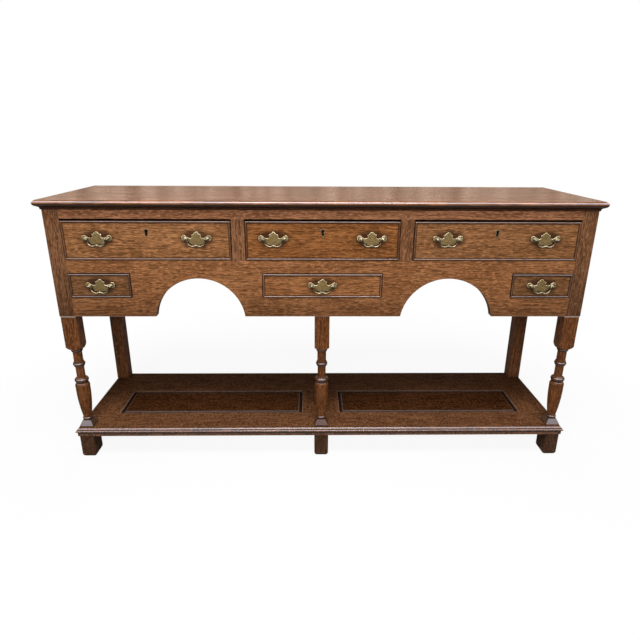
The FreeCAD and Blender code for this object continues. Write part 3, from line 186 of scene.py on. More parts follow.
# Ambient occlusion finds the corners and the seams, which are painted dark: painted shade, with wax and
# dust.
openness = put(patina_and_shade, "ShaderNodeAmbientOcclusion", {"Distance": CORNER_REACH}, samples=6).outputs["AO"]
corners = spread(patina_and_shade, maths(patina_and_shade, "ADD", openness, maths(patina_and_shade, "MULTIPLY", patches, 0.25)),
                 0.25, 0.95, 1.0, 0.0)
tightness = put(patina_and_shade, "ShaderNodeAmbientOcclusion", {"Distance": SEAM_REACH}, samples=6).outputs["AO"]
seam_shade = spread(patina_and_shade, tightness, 0.3, 0.85, 0.9, 0.0)
shade_and_dirt = maths(patina_and_shade, "MAXIMUM", maths(patina_and_shade, "MULTIPLY", corners, given["Dirt And Shade"]), seam_shade)
exposed = maths(patina_and_shade, "SUBTRACT", 1.0, maths(patina_and_shade, "MAXIMUM", corners, seam_shade))
edges = maths(patina_and_shade, "MULTIPLY", edges, exposed)
rubbed = mixed(patina_and_shade, maths(patina_and_shade, "MULTIPLY", edges, given["Wear"]), given["Color"], given["Worn"])
patina_and_shade.links.new(mixed(patina_and_shade, shade_and_dirt, rubbed, given["Shade And Grime"]), gives["Color"])
patina_and_shade.links.new(edges, gives["Edges"])
patina_and_shade.links.new(shade_and_dirt, gives["Shade And Dirt"])

GRAIN_TURNS = {"x": (0, 0, 0), "y": (0, 0, math.pi / 2), "z": (0, math.pi / 2, 0)}
PALE_SHARES = (1.7, 1.85, 2.1)
DARK_SHARES = (0.28, 0.25, 0.2)
RELIEF_DEPTH = 0.0006
COAT_ROUGHNESS = 0.16
nodes = frame["nodes"]


def shade(red, green, blue):
    return (red, green, blue, 1.0)


def tones(*brown):
    """The pale, brown and dark of an oak, from its brown."""
    pale = shade(*[channel * share for channel, share in zip(brown, PALE_SHARES)])
    dark = shade(*[channel * share for channel, share in zip(brown, DARK_SHARES)])
    return pale, shade(*brown), dark


def oak(name, along, heart, colours, figure=None, wear=0.3, dirt_and_shade=0.6, polish=(0.45, 0.62), shine=0.1,
        glossy=None, pale=None, painted_dark=None, turned=None, relief=0.35):
    """An oak finish. Colours are pale, brown and dark; polish is the roughness of fibres and hollows.
    The masks say which mouldings are glossy, where a pale painted highlight lies, and where the wood is
    painted darker: painted shade, dark joints and darker rings.
    turned is (axis of the grain, axis, middle, reach): beyond the reach from the middle, the grain
    runs that way."""
    material = bpy.data.materials.new(name)
    material.use_nodes = True
    tree = material.node_tree
    surface = tree.nodes["Principled BSDF"]
    place = put(tree, "ShaderNodeTexCoord").outputs["Object"]

    def run(axis):
        turn = {"Vector": vectors(tree, "SUBTRACT", place, heart), "Rotation": GRAIN_TURNS[axis]}
        grain = put(tree, "ShaderNodeMapping", turn).outputs[0]
        values = {"Along": grain, "Pale": colours[0], "Brown": colours[1], "Dark": colours[2]}
        return put(tree, "ShaderNodeGroup", values | (figure or {}), node_tree=oak_figure).outputs

    main = run(along)
    colour = main["Color"]
    fibre = main["Fibres"]
    height = main["Relief"]
    if turned:
        other = run(turned[0])
        split = put(tree, "ShaderNodeSeparateXYZ", {0: place}).outputs["xyz".index(turned[1])]
        far = maths(tree, "ABSOLUTE", maths(tree, "SUBTRACT", split, turned[2]))
        cross = maths(tree, "GREATER_THAN", far, turned[3])
        colour = mixed(tree, cross, colour, other["Color"])
        fibre = put(tree, "ShaderNodeMix", {0: cross, 2: fibre, 3: other["Fibres"]}).outputs[0]
        height = put(tree, "ShaderNodeMix", {0: cross, 2: height, 3: other["Relief"]}).outputs[0]
    worn = shade(*[channel * 1.1 + 0.03 for channel in colours[0][:3]])
    painted_glint = shade(*[channel * 0.4 + 0.3 for channel in colours[0][:3]])
    shade_and_grime = shade(*[channel * 0.25 for channel in colours[2][:3]])
    # A pale mask lays a painted highlight, in a pale glint colour, along its lines.
    if pale:
        colour = mixed(tree, pale(tree, place), colour, painted_glint)
    # A dark mask paints the wood darker, mostly as painted shade.
    if painted_dark:
        colour = mixed(tree, painted_dark(tree, place), colour, shade_and_grime)
    aging = {"Color": colour, "Worn": worn, "Shade And Grime": shade_and_grime, "Wear": wear, "Dirt And Shade": dirt_and_shade}
    aged = put(tree, "ShaderNodeGroup", aging, node_tree=patina_and_shade)
    tree.links.new(aged.outputs["Color"], surface.inputs["Base Color"])
    rough = spread(tree, fibre, 0.0, 1.0, polish[1], polish[0])
    dull = maths(tree, "MULTIPLY", aged.outputs["Shade And Dirt"], 0.25)
    tree.links.new(maths(tree, "ADD", rough, dull), surface.inputs["Roughness"])
    bump = put(tree, "ShaderNodeBump", {"Strength": relief, "Distance": RELIEF_DEPTH, "Height": height})
    tree.links.new(bump.outputs[0], surface.inputs["Normal"])
    surface.inputs["Specular IOR Level"].default_value = shine
    gloss = maths(tree, "MULTIPLY", aged.outputs["Edges"], wear)
    if glossy:
        gloss = maths(tree, "MAXIMUM", gloss, glossy(tree, place))
    clear = maths(tree, "SUBTRACT", 1.0, aged.outputs["Shade And Dirt"])
    tree.links.new(maths(tree, "MULTIPLY", gloss, clear), surface.inputs["Coat Weight"])
    surface.inputs["Coat Roughness"].default_value = COAT_ROUGHNESS
    return material


def finish_with(material, *names):
    """Gives CAD nodes a finish."""
    for name in names:
        slots = nodes[name].data.materials
        slots.clear()
        slots.append(material)


POST_TONES = tones(0.125, 0.046, 0.016)
for side, heart in (("left", (-0.72, 0.10, 1.3)), ("right", (0.83, 0.12, -2.1))):
    finish_with(oak(f"post_oak_{side}", "z", heart, POST_TONES, wear=0.35, polish=(0.45, 0.6)),
                f"back_post_{side}")

# Front feet
# Three short oak blocks with rounded toes, bored for the leg spigots. They are the dirtiest wood of the
# piece, scuffed along the edges.

FOOT_TONES = tones(0.063, 0.028, 0.0125)
finish_with(oak("foot_oak", "z", (0.21, -0.33, 0.9), FOOT_TONES, {"Fineness": (2.0, 0.8, 0.8)},
                polish=(0.5, 0.65)), "front_feet")

# Pot board
# A grooved oak frame with two panels let in, moulded along its front and ends. The wood is nearly black,
# and is painted darker still towards the back as shade under the case; the front rail is rubbed, so that
# the rays show as a crowd of orange flecks.

MM = 0.001


def within(tree, value, low, high):
    """1 where a length lies between two others, in millimetres."""
    return put(tree, "ShaderNodeMath", {0: value, 1: (low + high) / 2 * MM, 2: (high - low) / 2 * MM},
               operation="COMPARE").outputs[0]


def bands(*limits):
    """A mask of bands. A band is an axis, a least and a greatest place along it in millimetres, counted
    both ways from the middle along X, and how strong it is."""
    def mask(tree, place):
        split = put(tree, "ShaderNodeSeparateXYZ", {0: place}).outputs
        result = 0.0
        for axis, low, high, share in limits:
            along = split["xyz".index(axis)]
            if axis == "x":
                along = maths(tree, "ABSOLUTE", along)
            band = maths(tree, "MULTIPLY", within(tree, along, low, high), share)
            result = maths(tree, "MAXIMUM", result, band)
        return result
    return mask


def fading(axis, strong, weak, share):
    """A mask that fades along an axis from one place to another, in millimetres."""
    def mask(tree, place):
        along = put(tree, "ShaderNodeSeparateXYZ", {0: place}).outputs["xyz".index(axis)]
        return spread(tree, along, strong * MM, weak * MM, share, 0.0)
    return mask


def rim(middle, half, axes, lines):
    """A mask of lines that run round a rectangle, and round its mirror image at the other end of the
    dresser: each is a least and a greatest distance inside its edge in millimetres, and how strong
    it is."""
    def mask(tree, place):
        there = put(tree, "ShaderNodeSeparateXYZ", {0: place}).outputs
        sideways = maths(tree, "ABSOLUTE", there["X"])
        folded = put(tree, "ShaderNodeCombineXYZ", {0: sideways, 1: there["Y"], 2: there["Z"]}).outputs[0]
        offset = vectors(tree, "ABSOLUTE", vectors(tree, "SUBTRACT", folded, middle), (0, 0, 0))
        inset = vectors(tree, "SUBTRACT", half, offset)
        split = put(tree, "ShaderNodeSeparateXYZ", {0: inset}).outputs
        nearest = maths(tree, "MINIMUM", *[split["xyz".index(axis)] for axis in axes])
        result = 0.0
        for low, high, share in lines:
            line = maths(tree, "MULTIPLY", within(tree, nearest, low, high), share)
            result = maths(tree, "MAXIMUM", result, line)
        return result
    return mask


POT_TONES = tones(0.12, 0.047, 0.0175)
PANEL_TONES = tones(0.056, 0.0195, 0.0066)
PANEL_MIDDLE = (381.25 * MM, -23.5 * MM, 0)
PANEL_HALF = (315.25 * MM, 79.5 * MM, 0)
# The line round the openings and the line round each panel field are painted highlights.
OPENING_HIGHLIGHT_LINE = ((-3, 0, 0.2),)
FIELD_HIGHLIGHT_LINE = ((9.5, 13.5, 0.22),)
# The groove round each panel field, the hollow of the front moulding and the fade towards the back are
# painted shade.
PANEL_GROOVE_SHADE = ((0, 3, 0.8), (3, 7, 0.3), (7, 9.5, 0.8))
OPENING_HIGHLIGHT = rim(PANEL_MIDDLE, PANEL_HALF, "xy", OPENING_HIGHLIGHT_LINE)
FRONT_MOULDING = ("y", -220, -202, 1)
END_MOULDING = ("x", 797, 815, 1)
MOULDING_SHADE = ("z", 92, 97.9, 0.8)
SHADE_TOWARDS_BACK = fading("y", 170, -120, 0.7)
POT_POLISH = (0.5, 0.68)
CROWDED = {"Fineness": (2.6, 0.4, 0.4), "Flecks": 0.85, "Rings": 0.15}
finish_with(oak("pot_front_oak", "x", (0.4, -0.15, -0.25), POT_TONES, CROWDED, polish=POT_POLISH,
                shine=0.06, glossy=bands(FRONT_MOULDING, END_MOULDING), pale=OPENING_HIGHLIGHT,
                painted_dark=bands(MOULDING_SHADE)), "pot_board_front_rail")
for name, along, heart in (("end_rails", "y", (0.25, 2.2, -0.22)), ("muntin", "y", (0.18, -1.4, -0.2)),
                           ("back_rail", "x", (-1.7, 0.3, -0.15))):
    finish_with(oak(f"pot_{name}_oak", along, heart, POT_TONES, CROWDED, polish=POT_POLISH, shine=0.02,
                    glossy=bands(END_MOULDING), pale=OPENING_HIGHLIGHT, painted_dark=SHADE_TOWARDS_BACK),
                f"pot_board_{name}")
finish_with(oak("pot_panel_oak", "x", (1.1, 0.35, -0.12), PANEL_TONES, CROWDED, polish=POT_POLISH,
                shine=0.0, pale=rim(PANEL_MIDDLE, PANEL_HALF, "xy", FIELD_HIGHLIGHT_LINE),
                painted_dark=rim(PANEL_MIDDLE, PANEL_HALF, "xy", PANEL_GROOVE_SHADE)), "pot_board_panels")

# Front legs
# Three oak legs, turned from square stock between an upper block and a base that stands on the pot board.
# The grain runs up the leg. The rings of the turning and the base are painted darker, and they shine.

LEG_TONES = tones(0.134, 0.046, 0.0138)
RING_HEIGHTS = ((134, 144), (266, 285), (325, 342), (375, 386))
BASE_HEIGHTS = (112, 134)
BASE_GLOSS = {"left": 1.0, "centre": 0.28, "right": 1.0}
RING_GLOSS = 0.75
RING_DARKNESS = 0.6
# The rings and the base of each leg are painted darker.
RING_DARKENING = bands(*[("z", *heights, RING_DARKNESS) for heights in (*RING_HEIGHTS, BASE_HEIGHTS)])
# A painted highlight along the top of the end legs, under the stiles.
LEG_TOP_HIGHLIGHT = bands(("z", 497, 501, 0.9))
LEG_HEARTS = {"left": (-0.74, -0.23, 0.6), "centre": (0.05, -0.15, -1.9), "right": (0.8, -0.24, 2.7)}
for name, heart in LEG_HEARTS.items():
    gloss = bands(*[("z", *heights, RING_GLOSS) for heights in RING_HEIGHTS],
                  ("z", *BASE_HEIGHTS, BASE_GLOSS[name]))
    finish_with(oak(f"leg_oak_{name}", "z", heart, LEG_TONES, glossy=gloss, painted_dark=RING_DARKENING,
                    pale=None if name == "centre" else LEG_TOP_HIGHLIGHT), f"front_leg_{name}")

# Front frame
# Two stiles, a top rail, two muntins and one wide apron, joined with pegged tenons. It is oak with a deep
# brown wax polish, the grain upright in the stiles and muntins and level in the rest.

CASE_TONES = tones(0.247, 0.099, 0.036)
STILE_TONES = tones(0.162, 0.069, 0.029)
# A painted highlight along the worn lower arris of the stiles and the apron.
LOWER_ARRIS_HIGHLIGHT = bands(("z", 500, 501.8, 0.5))
STILE_SHADE = fading("z", 490, 700, 0.4)
APRON_SHADE = fading("z", 490, 600, 0.4)
for side, heart in (("left", (-0.83, -0.30, 0.4)), ("right", (0.74, -0.28, -1.2))):
    finish_with(oak(f"stile_oak_{side}", "z", heart, STILE_TONES, pale=LOWER_ARRIS_HIGHLIGHT,
                    painted_dark=STILE_SHADE), f"front_stile_{side}")
finish_with(oak("top_rail_oak", "x", (0.3, -0.31, 0.74), tones(0.272, 0.111, 0.049)), "front_top_rail")
finish_with(oak("apron_oak", "x", (-0.25, -0.29, 0.565), CASE_TONES, pale=LOWER_ARRIS_HIGHLIGHT,
                painted_dark=APRON_SHADE), "front_apron")
finish_with(oak("muntin_oak", "z", (0.31, -0.27, 1.9), tones(0.174, 0.073, 0.031)), "front_muntins")
finish_with(oak("peg_oak", "y", (0.0, 0.0, 0.0), STILE_TONES), "joint_pegs")

# Ends and back
# The ends are single wide boards housed in the stile and the post. The back is two rough boards in
# rebates, never polished, on two rails that carry the runners.

END_TONES = tones(0.16, 0.064, 0.026)
for side, heart in (("left", (-0.90, 0.7, 0.66)), ("right", (0.92, -1.3, 0.70))):
    finish_with(oak(f"end_oak_{side}", "y", heart, END_TONES), f"end_panel_{side}")
BACK_TONES = tones(0.16, 0.092, 0.048)
BACK_JOINT = bands(("z", 665, 667, 0.9))
finish_with(oak("back_board_oak", "x", (0.8, 0.33, 0.62), BACK_TONES, dirt_and_shade=0.8, polish=(0.65, 0.8),
                painted_dark=BACK_JOINT, relief=0.6), "back_boards")

# Runners, kickers and stops
# Plain sawn oak inside the case, bare of polish: runners with guides under the drawer sides, kickers
# under the top, small stops behind the drawer fronts, and the back rails.

BARE_TONES = tones(0.25, 0.155, 0.08)
SAWN = (0.6, 0.78)
bare_length = oak("runner_oak", "y", (0.1, 0.9, 0.4), BARE_TONES, wear=0.4, polish=SAWN)
bare_across = oak("rail_oak", "x", (0.7, 0.05, 0.5), BARE_TONES, wear=0.4, polish=SAWN)
finish_with(bare_length, "deep_drawer_runners", "small_drawer_runners", "drawer_kickers")
finish_with(bare_across, "drawer_stops", "back_rails")

# Top boards and cove moulding
# Two oak planks edge to edge, polished by hand for many years, with a rounded nose on the front and both
# ends. Three mitred strips of cove moulding fill the corner under them.

# The band under the nose and the lower part of the nose are painted dark as shade; the joint of the two
# planks is a dark line.
TOP_JOINT = ("y", 14.3, 15.7, 0.7)
NOSE_SHADE = ("z", 840, 849, 0.3)
NOSE_SHINE = ("z", 841, 849.7, 0.75)
UNDER_NOSE_SHADE = ("z", 830, 840, 1)
TOP_FIGURE = {"Rings": 0.5, "Ring Width": 0.014, "Flecks": 0.4, "Fineness": (0.3, 0.6, 0.6)}
TOP_TONES = tones(0.37, 0.143, 0.056)
finish_with(oak("top_oak", "x", (0.6, -0.13, 0.79), TOP_TONES, TOP_FIGURE, polish=(0.13, 0.24), shine=0.4,
                glossy=bands(NOSE_SHINE), painted_dark=bands(UNDER_NOSE_SHADE, NOSE_SHADE, TOP_JOINT), relief=0.25),
            "top_boards")
# The cove is painted nearly black, as shade under the nose.
COVE_SHADE_TONES = tones(0.042, 0.015, 0.006)
END_STRIPS = ("y", "x", 0.0, 0.8)
finish_with(oak("cove_shaded_oak", "x", (-0.4, -0.3, 0.75), COVE_SHADE_TONES, turned=END_STRIPS), "top_cove_moulding")

# Drawer boxes
# Thin oak sides, a back and a bottom, dovetailed to the front and left bare, so they have dried to a pale
# brown. The grain runs front to back in the sides and across in the rest.

LINING_TONES = tones(0.33, 0.22, 0.115)
SIDE_THICKNESS = 9 * MM
# Where the heart of the log lies: a new length of it for each box, behind it and below it.
BOX_LOG_STEP = 1.3
BOX_HEART_BACK = 0.4
BOX_HEART_DROP = 0.09
drawers = [body for body in frame["bodies"] if body.endswith("_drawer")]
for number, drawer in enumerate(drawers):
    low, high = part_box(f"{drawer}_box")
    middle = (low.x + high.x) / 2
    inner = (high.x - low.x) / 2 - SIDE_THICKNESS
    heart = (middle + BOX_LOG_STEP * number, BOX_HEART_BACK, low.z - BOX_HEART_DROP)
    finish_with(oak(f"{drawer}_box_oak", "x", heart, LINING_TONES, wear=0.35, dirt_and_shade=0.55,
                    polish=(0.55, 0.72), turned=("y", "x", middle, inner)), f"{drawer}_box")

# Drawer fronts
# Oak boards picked for their figure, each of its own tone, with four mitred cock beads let in round the
# edge. The beads shine. The gaps and grooves along them are painted dark as shade, and painted shadow,
# with dark wax, lies round the handles.

FRONT_TONES = {
    "deep_left_drawer": tones(0.245, 0.103, 0.037),
    "deep_centre_drawer": tones(0.203, 0.0735, 0.0205),
    "deep_right_drawer": tones(0.229, 0.097, 0.0355),
    "small_left_drawer": tones(0.163, 0.07, 0.0255),
    "small_centre_drawer": tones(0.243, 0.0955, 0.0325),
    "small_right_drawer": tones(0.18, 0.078, 0.0295),
}
SHADOW_AND_WAX_REACH = (52 * MM, 25 * MM, 27 * MM)
SHADOW_AND_WAX_EDGE = (0.75, 1.25)
HANDLE_SHADOW_AND_WAX = 0.8
BEAD_WIDTH = 5.0
# The gap outside each bead and the groove inside it are painted shade, and the bead itself is painted
# darker.
BEAD_SHADE_LINES = ((-1, 0.9, 0.9), (0.9, BEAD_WIDTH, 0.55), (BEAD_WIDTH, BEAD_WIDTH + 2.2, 0.9))
BEAD_FRONTS = ("y", -210, -201.3, 1)
# Where the heart of the log lies: a new length of it for each front, before its face and above its foot.
FRONT_LOG_STEP = 1.7
HEARTS_BEFORE = (-0.255, -0.267, -0.279)
HEARTS_ABOVE = (0.035, 0.055)
bail_joints = [joint for joint in frame["joints"] if "bail" in joint["child"]]
handles = {joint["child"]: Vector(joint["pos_m"]) for joint in bail_joints}


def either(*masks):
    def mask(tree, place):
        result = 0.0
        for each in masks:
            result = maths(tree, "MAXIMUM", result, each(tree, place))
        return result
    return mask


def shadow_and_wax_round(centre):
    """A mask of painted shadow round a handle, with the dark wax that polishing leaves there."""
    def mask(tree, place):
        offset = vectors(tree, "DIVIDE", vectors(tree, "SUBTRACT", place, centre), SHADOW_AND_WAX_REACH)
        far = put(tree, "ShaderNodeVectorMath", {0: offset}, operation="LENGTH").outputs["Value"]
        return spread(tree, far, *SHADOW_AND_WAX_EDGE, HANDLE_SHADOW_AND_WAX, 0.0)
    return mask


for number, (drawer, colours) in enumerate(FRONT_TONES.items()):
    low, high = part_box(f"{drawer}_front")
    middle = (low + high) / 2
    half = (high - low) / 2
    heart = (middle.x - FRONT_LOG_STEP * number, HEARTS_BEFORE[number % 3],
             low.z + HEARTS_ABOVE[number % 2])
    beads = rim((abs(middle.x), 0, middle.z), half, "xz", BEAD_SHADE_LINES)
    stem = drawer.removesuffix("_drawer")
    # Painted shadow, with dark wax, round each handle on this front.
    wax = [shadow_and_wax_round(pivot) for bail, pivot in handles.items() if bail.startswith(f"{stem}_bail")]
    finish_with(oak(f"{drawer}_front_oak", "x", heart, colours, wear=0.2, dirt_and_shade=0.85,
                    glossy=bands(BEAD_FRONTS), painted_dark=either(beads, *wax),
                    turned=("z", "x", middle.x, half.x - BEAD_WIDTH * MM)), f"{drawer}_front")

# Drawer locks
# Iron lock cases screwed behind the deep drawer fronts, each with a bolt that rises into the top rail.
# The iron is brown with age, and the bolts, which slide, are a little brighter.

METAL_GRAIN_LUMPS = (1100.0, 1100.0, 1100.0)
METAL_RELIEF_DEPTH = 0.0003


def metal(name, bright, dull, smooth, rough, patches, relief, arris=1.2, worn=None):
    """A metal with dull patches and corners painted dark, as painted shade with dirt; bright, dull and
    worn are its colours where it is rubbed, where it is not, and along the edges, as far in as the arris
    in millimetres."""
    material = bpy.data.materials.new(name)
    material.use_nodes = True
    tree = material.node_tree
    surface = tree.nodes["Principled BSDF"]
    place = put(tree, "ShaderNodeTexCoord").outputs["Object"]
    blotches = spread(tree, noise(tree, place, (patches,) * 3, 4.0).outputs[0], 0.36, 0.62)
    grain = noise(tree, place, METAL_GRAIN_LUMPS, 2.0).outputs[0]
    worn = worn or shade(*[min(1.0, channel * 1.4) for channel in bright[:3]])
    shade_and_grime = shade(*[channel * 0.25 for channel in dull[:3]])
    aging = {"Color": mixed(tree, blotches, bright, dull), "Worn": worn, "Shade And Grime": shade_and_grime, "Wear": 0.95,
             "Dirt And Shade": 0.7, "Arris": arris * MM}
    aged = put(tree, "ShaderNodeGroup", aging, node_tree=patina_and_shade)
    tree.links.new(aged.outputs["Color"], surface.inputs["Base Color"])
    tree.links.new(spread(tree, blotches, 0.0, 1.0, smooth, rough), surface.inputs["Roughness"])
    height = maths(tree, "ADD", maths(tree, "MULTIPLY", grain, 0.4), blotches)
    bump = put(tree, "ShaderNodeBump",
               {"Strength": relief, "Distance": METAL_RELIEF_DEPTH, "Height": height})
    tree.links.new(bump.outputs[0], surface.inputs["Normal"])
    surface.inputs["Metallic"].default_value = 1.0
    return material


lock_iron = metal("lock_iron", shade(0.2, 0.18, 0.16), shade(0.1, 0.075, 0.06), 0.42, 0.62, 90.0, 0.5)
bolt_iron = metal("bolt_iron", shade(0.34, 0.31, 0.27), shade(0.15, 0.12, 0.1), 0.3, 0.5, 120.0, 0.4)
for name in ("left", "centre", "right"):
    finish_with(lock_iron, f"deep_{name}_drawer_lock")
    finish_with(bolt_iron, f"deep_{name}_lock_bolt")

# Handle plates, posts, nuts and keyhole liners
# Cast brass plates with a pointed crest, two ears and a lobe round each post, their edges filed and
# bright. A turned post with a ball head goes through each lobe and is held by a nut inside the drawer.
# Each deep drawer has a thread of brass let in round its keyhole.


def arc_spline(curve, corners, closed=True):
    """A line through corners, anticlockwise. A corner is across, up and how far the side that ends there
    bulges outwards, in millimetres, with a last number for the thickness of a rod."""
    line = curve.splines.new("BEZIER")
    line.use_cyclic_u = closed
    line.bezier_points.add(len(corners) - 1)
    points = line.bezier_points
    for point, corner in zip(points, corners):
        point.co = (corner[0] * MM, corner[1] * MM, 0)
        point.handle_left_type = "FREE"
        point.handle_right_type = "FREE"
        point.handle_left = point.co
        point.handle_right = point.co
        point.radius = corner[3] if len(corner) > 3 else 1.0
    for number in range(0 if closed else 1, len(corners)):
        start = points[number - 1]
        end = points[number]
        chord = end.co - start.co
        turn = 4 * math.atan2(2 * corners[number][2] * MM, chord.length)
        pull = chord.length / 3
        if turn:
            pull = 4 / 3 * math.tan(abs(turn) / 4) * chord.length / (2 * math.sin(abs(turn) / 2))
        start.handle_right = start.co + Matrix.Rotation(-turn / 2, 3, "Z") @ chord.normalized() * pull
        end.handle_left = end.co - Matrix.Rotation(turn / 2, 3, "Z") @ chord.normalized() * pull


def shape_of(curve):
    """The mesh of a flat curve, stood up so that its front looks towards -Y."""
    holder = bpy.data.objects.new("shape", curve)
    mesh = bpy.data.meshes.new_from_object(holder)
    bpy.data.objects.remove(holder)
    mesh.transform(Matrix.Rotation(math.pi / 2, 4, "X"))
    return mesh


def flat_curve(name, thickness, edge, *outlines):
    """A plate with a rounded edge, its back on y = 0."""
    curve = bpy.data.curves.new(name, "CURVE")
    curve.dimensions = "2D"
    curve.fill_mode = "BOTH"
    curve.resolution_u = 5
    curve.extrude = (thickness / 2 - edge) * MM
    curve.bevel_depth = edge * MM
    curve.bevel_resolution = 2
    curve.offset = -edge * MM
    for outline in outlines:
        arc_spline(curve, outline)
    mesh = shape_of(curve)
    mesh.transform(Matrix.Translation((0, -thickness / 2 * MM, 0)))
    return mesh


def turned_mesh(name, outline, steps=28):
    """Spins an outline of radius and height, in millimetres, about Y."""
    shape = bmesh.new()
    verts = [shape.verts.new((radius * MM, height * MM, 0)) for radius, height in outline]
    edges = [shape.edges.new(pair) for pair in zip(verts, verts[1:])]
    bmesh.ops.spin(shape, geom=verts + edges, cent=(0, 0, 0), axis=(0, 1, 0), angle=2 * math.pi,
                   steps=steps, use_merge=True)
    bmesh.ops.remove_doubles(shape, verts=shape.verts, dist=0.01 * MM)
    bmesh.ops.recalc_face_normals(shape, faces=shape.faces)
    for face in shape.faces:
        face.smooth = True
    mesh = bpy.data.meshes.new(name)
    shape.to_mesh(mesh)
    shape.free()
    return mesh


def gathered(name, parts, body, replaced, materials):
    """One object from meshes set in place: parts are (mesh, place, number of the material)."""
    shape = bmesh.new()
    for mesh, place, finish in parts:
        kept = len(shape.faces)
        shape.from_mesh(mesh)
        shape.faces.ensure_lookup_table()
        fresh = shape.faces[kept:]
        bmesh.ops.translate(shape, vec=place, verts=list({vert for face in fresh for vert in face.verts}))
        for face in fresh:
            face.material_index = finish
    mesh = bpy.data.meshes.new(name)
    shape.to_mesh(mesh)
    shape.free()
    for material in materials:
        mesh.materials.append(material)
    piece = bpy.data.objects.new(name, mesh)
    bpy.context.scene.collection.objects.link(piece)
    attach(piece, body)
    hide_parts(replaced)


PLATE_THICKNESS = 1.6
PLATE_EDGE = 0.7
HALF_PLATE = ((9, -16.5, -0.4), (22.5, -8.5, 2.2), (27, -5.5, -0.7), (36, -5.8, 0.6), (43.5, 2, 2.4),
              (35, 10.5, 3.2), (27.5, 5.2, 1.0), (17, 2.4, -1.1), (12.6, 6.2, -0.8), (13.6, 12.2, 0.5),
              (9.2, 13.4, 0.9), (4.6, 18.4, 0.7))
CREST = (0, 21, 0.7)
FOOT = (0, -19.5, -0.4)


def mirrored(half):
    """The left half of an outline, walked on from the crest back down to the foot."""
    result = []
    bulge = CREST[2]
    for x, z, next_bulge in reversed(half):
        result.append((-x, z, bulge))
        bulge = next_bulge
    return result


plate_outline = (FOOT, *HALF_PLATE, CREST, *mirrored(HALF_PLATE))
plate_mesh = flat_curve("plate", PLATE_THICKNESS, PLATE_EDGE, plate_outline)
POST = ((0, -13.8), (1.5, -13.5), (2.7, -12.7), (3.5, -11.5), (3.8, -10), (3.5, -8.5), (2.7, -7.3),
        (2.3, -6.6), (2.3, -4.7), (3.2, -4.0), (4.7, -3.5), (5.2, -2.7), (5.2, -1.5), (0, -1.5))
post_mesh = turned_mesh("post", POST)
NUT = ((0, 18), (6, 18), (6, 20.9), (5.2, 22), (2.6, 22), (2.3, 22.4), (0, 22.6))
nut_mesh = turned_mesh("nut", NUT)
LINER_THICKNESS = 1.2
LINER_EDGE = 0.2
LINER_SUNK = 0.8 * MM
LINER_WALL = 1.6
KEYHOLE_RADIUS = 4.2
KEYHOLE_SLOT = 2.5
KEYHOLE_DROP = 13.0


def keyhole_outline(wall):
    """A keyhole, larger by a wall all round, about the middle of its round part."""
    radius = KEYHOLE_RADIUS + wall
    slot = KEYHOLE_SLOT + wall
    drop = KEYHOLE_DROP + wall
    shoulder = math.sqrt(radius ** 2 - slot ** 2)
    foot_bulge = slot * 0.6
    quarter_bulge = radius * 0.29
    lower_bulge = radius * 0.2
    return ((-slot, -drop, 0), (slot, -drop, foot_bulge), (slot, -shoulder, 0), (radius, 0, lower_bulge),
            (0, radius, quarter_bulge), (-radius, 0, quarter_bulge), (-slot, -shoulder, lower_bulge))


liner_mesh = flat_curve("keyhole_liner", LINER_THICKNESS, LINER_EDGE, keyhole_outline(LINER_WALL),
                        keyhole_outline(0))
liner_mesh.transform(Matrix.Translation((0, LINER_SUNK, 0)))
CREAM_BRASS = shade(0.75, 0.65, 0.45)
plate_brass = metal("plate_brass", shade(0.34, 0.225, 0.087), shade(0.18, 0.117, 0.042), 0.4, 0.55,
                    patches=90.0, relief=0.4, arris=3.2, worn=CREAM_BRASS)
post_brass = metal("post_brass", shade(0.2, 0.165, 0.1), shade(0.11, 0.088, 0.045), 0.32, 0.48,
                   patches=160.0, relief=0.3)
FRONT_FACE = -201 * MM
POST_REACH = 32 * MM
KEY_HEIGHT = 24 * MM
for drawer in drawers:
    stem = drawer.removesuffix("_drawer")
    parts = []
    for bail, pivot in handles.items():
        if bail.startswith(f"{stem}_bail"):
            centre = Vector((pivot.x, FRONT_FACE, pivot.z))
            parts.append((plate_mesh, centre, 0))
            for side in (-1, 1):
                place = centre + Vector((side * POST_REACH, 0, 0))
                parts.append((post_mesh, place, 1))
                parts.append((nut_mesh, place, 1))
    if stem.startswith("deep"):
        low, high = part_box(f"{drawer}_lock")
        keyhole = Vector(((low.x + high.x) / 2, FRONT_FACE, low.z + KEY_HEIGHT))
        parts.append((liner_mesh, keyhole, 1))
    gathered(f"{stem}_brasses", parts, drawer, f"{drawer}_brasses",
             (plate_brass, post_brass))

# Swan-neck bails
# Cast brass handles that hang from a pin in each post: straight arms, a dip on either side, and a small
# knop between two collars in the middle of the low arch. Fingers keep them brighter than the plates.

ARM_REACH = 25.7
BAIL_RADIUS = 1.9
BAIL_LINE = ((ARM_REACH, 0, 0, 0.9), (ARM_REACH, -5.5, 0, 0.95), (10.7, -20.5, -4.39, 1.12),
             (4.36, -19.1, -0.36, 1.0), (-4.36, -19.1, 0.97, 1.0), (-10.7, -20.5, -0.36, 1.12),
             (-ARM_REACH, -5.5, -4.39, 0.95), (-ARM_REACH, 0, 0, 0.9))
bail_curve = bpy.data.curves.new("bail", "CURVE")
bail_curve.dimensions = "3D"
bail_curve.resolution_u = 8
bail_curve.bevel_depth = BAIL_RADIUS * MM
bail_curve.bevel_resolution = 4
bail_curve.use_fill_caps = True
arc_spline(bail_curve, BAIL_LINE, closed=False)
bail_mesh = shape_of(bail_curve)
KNOP = ((0, 3.9), (1.1, 3.7), (2.1, 2.9), (2.7, 1.5), (2.9, 0), (2.7, -1.6), (2.1, -3.2), (1.2, -4.2),
        (0, -4.5))
knop_mesh = turned_mesh("knop", KNOP)
knop_mesh.transform(Matrix.Rotation(math.pi / 2, 4, "X"))
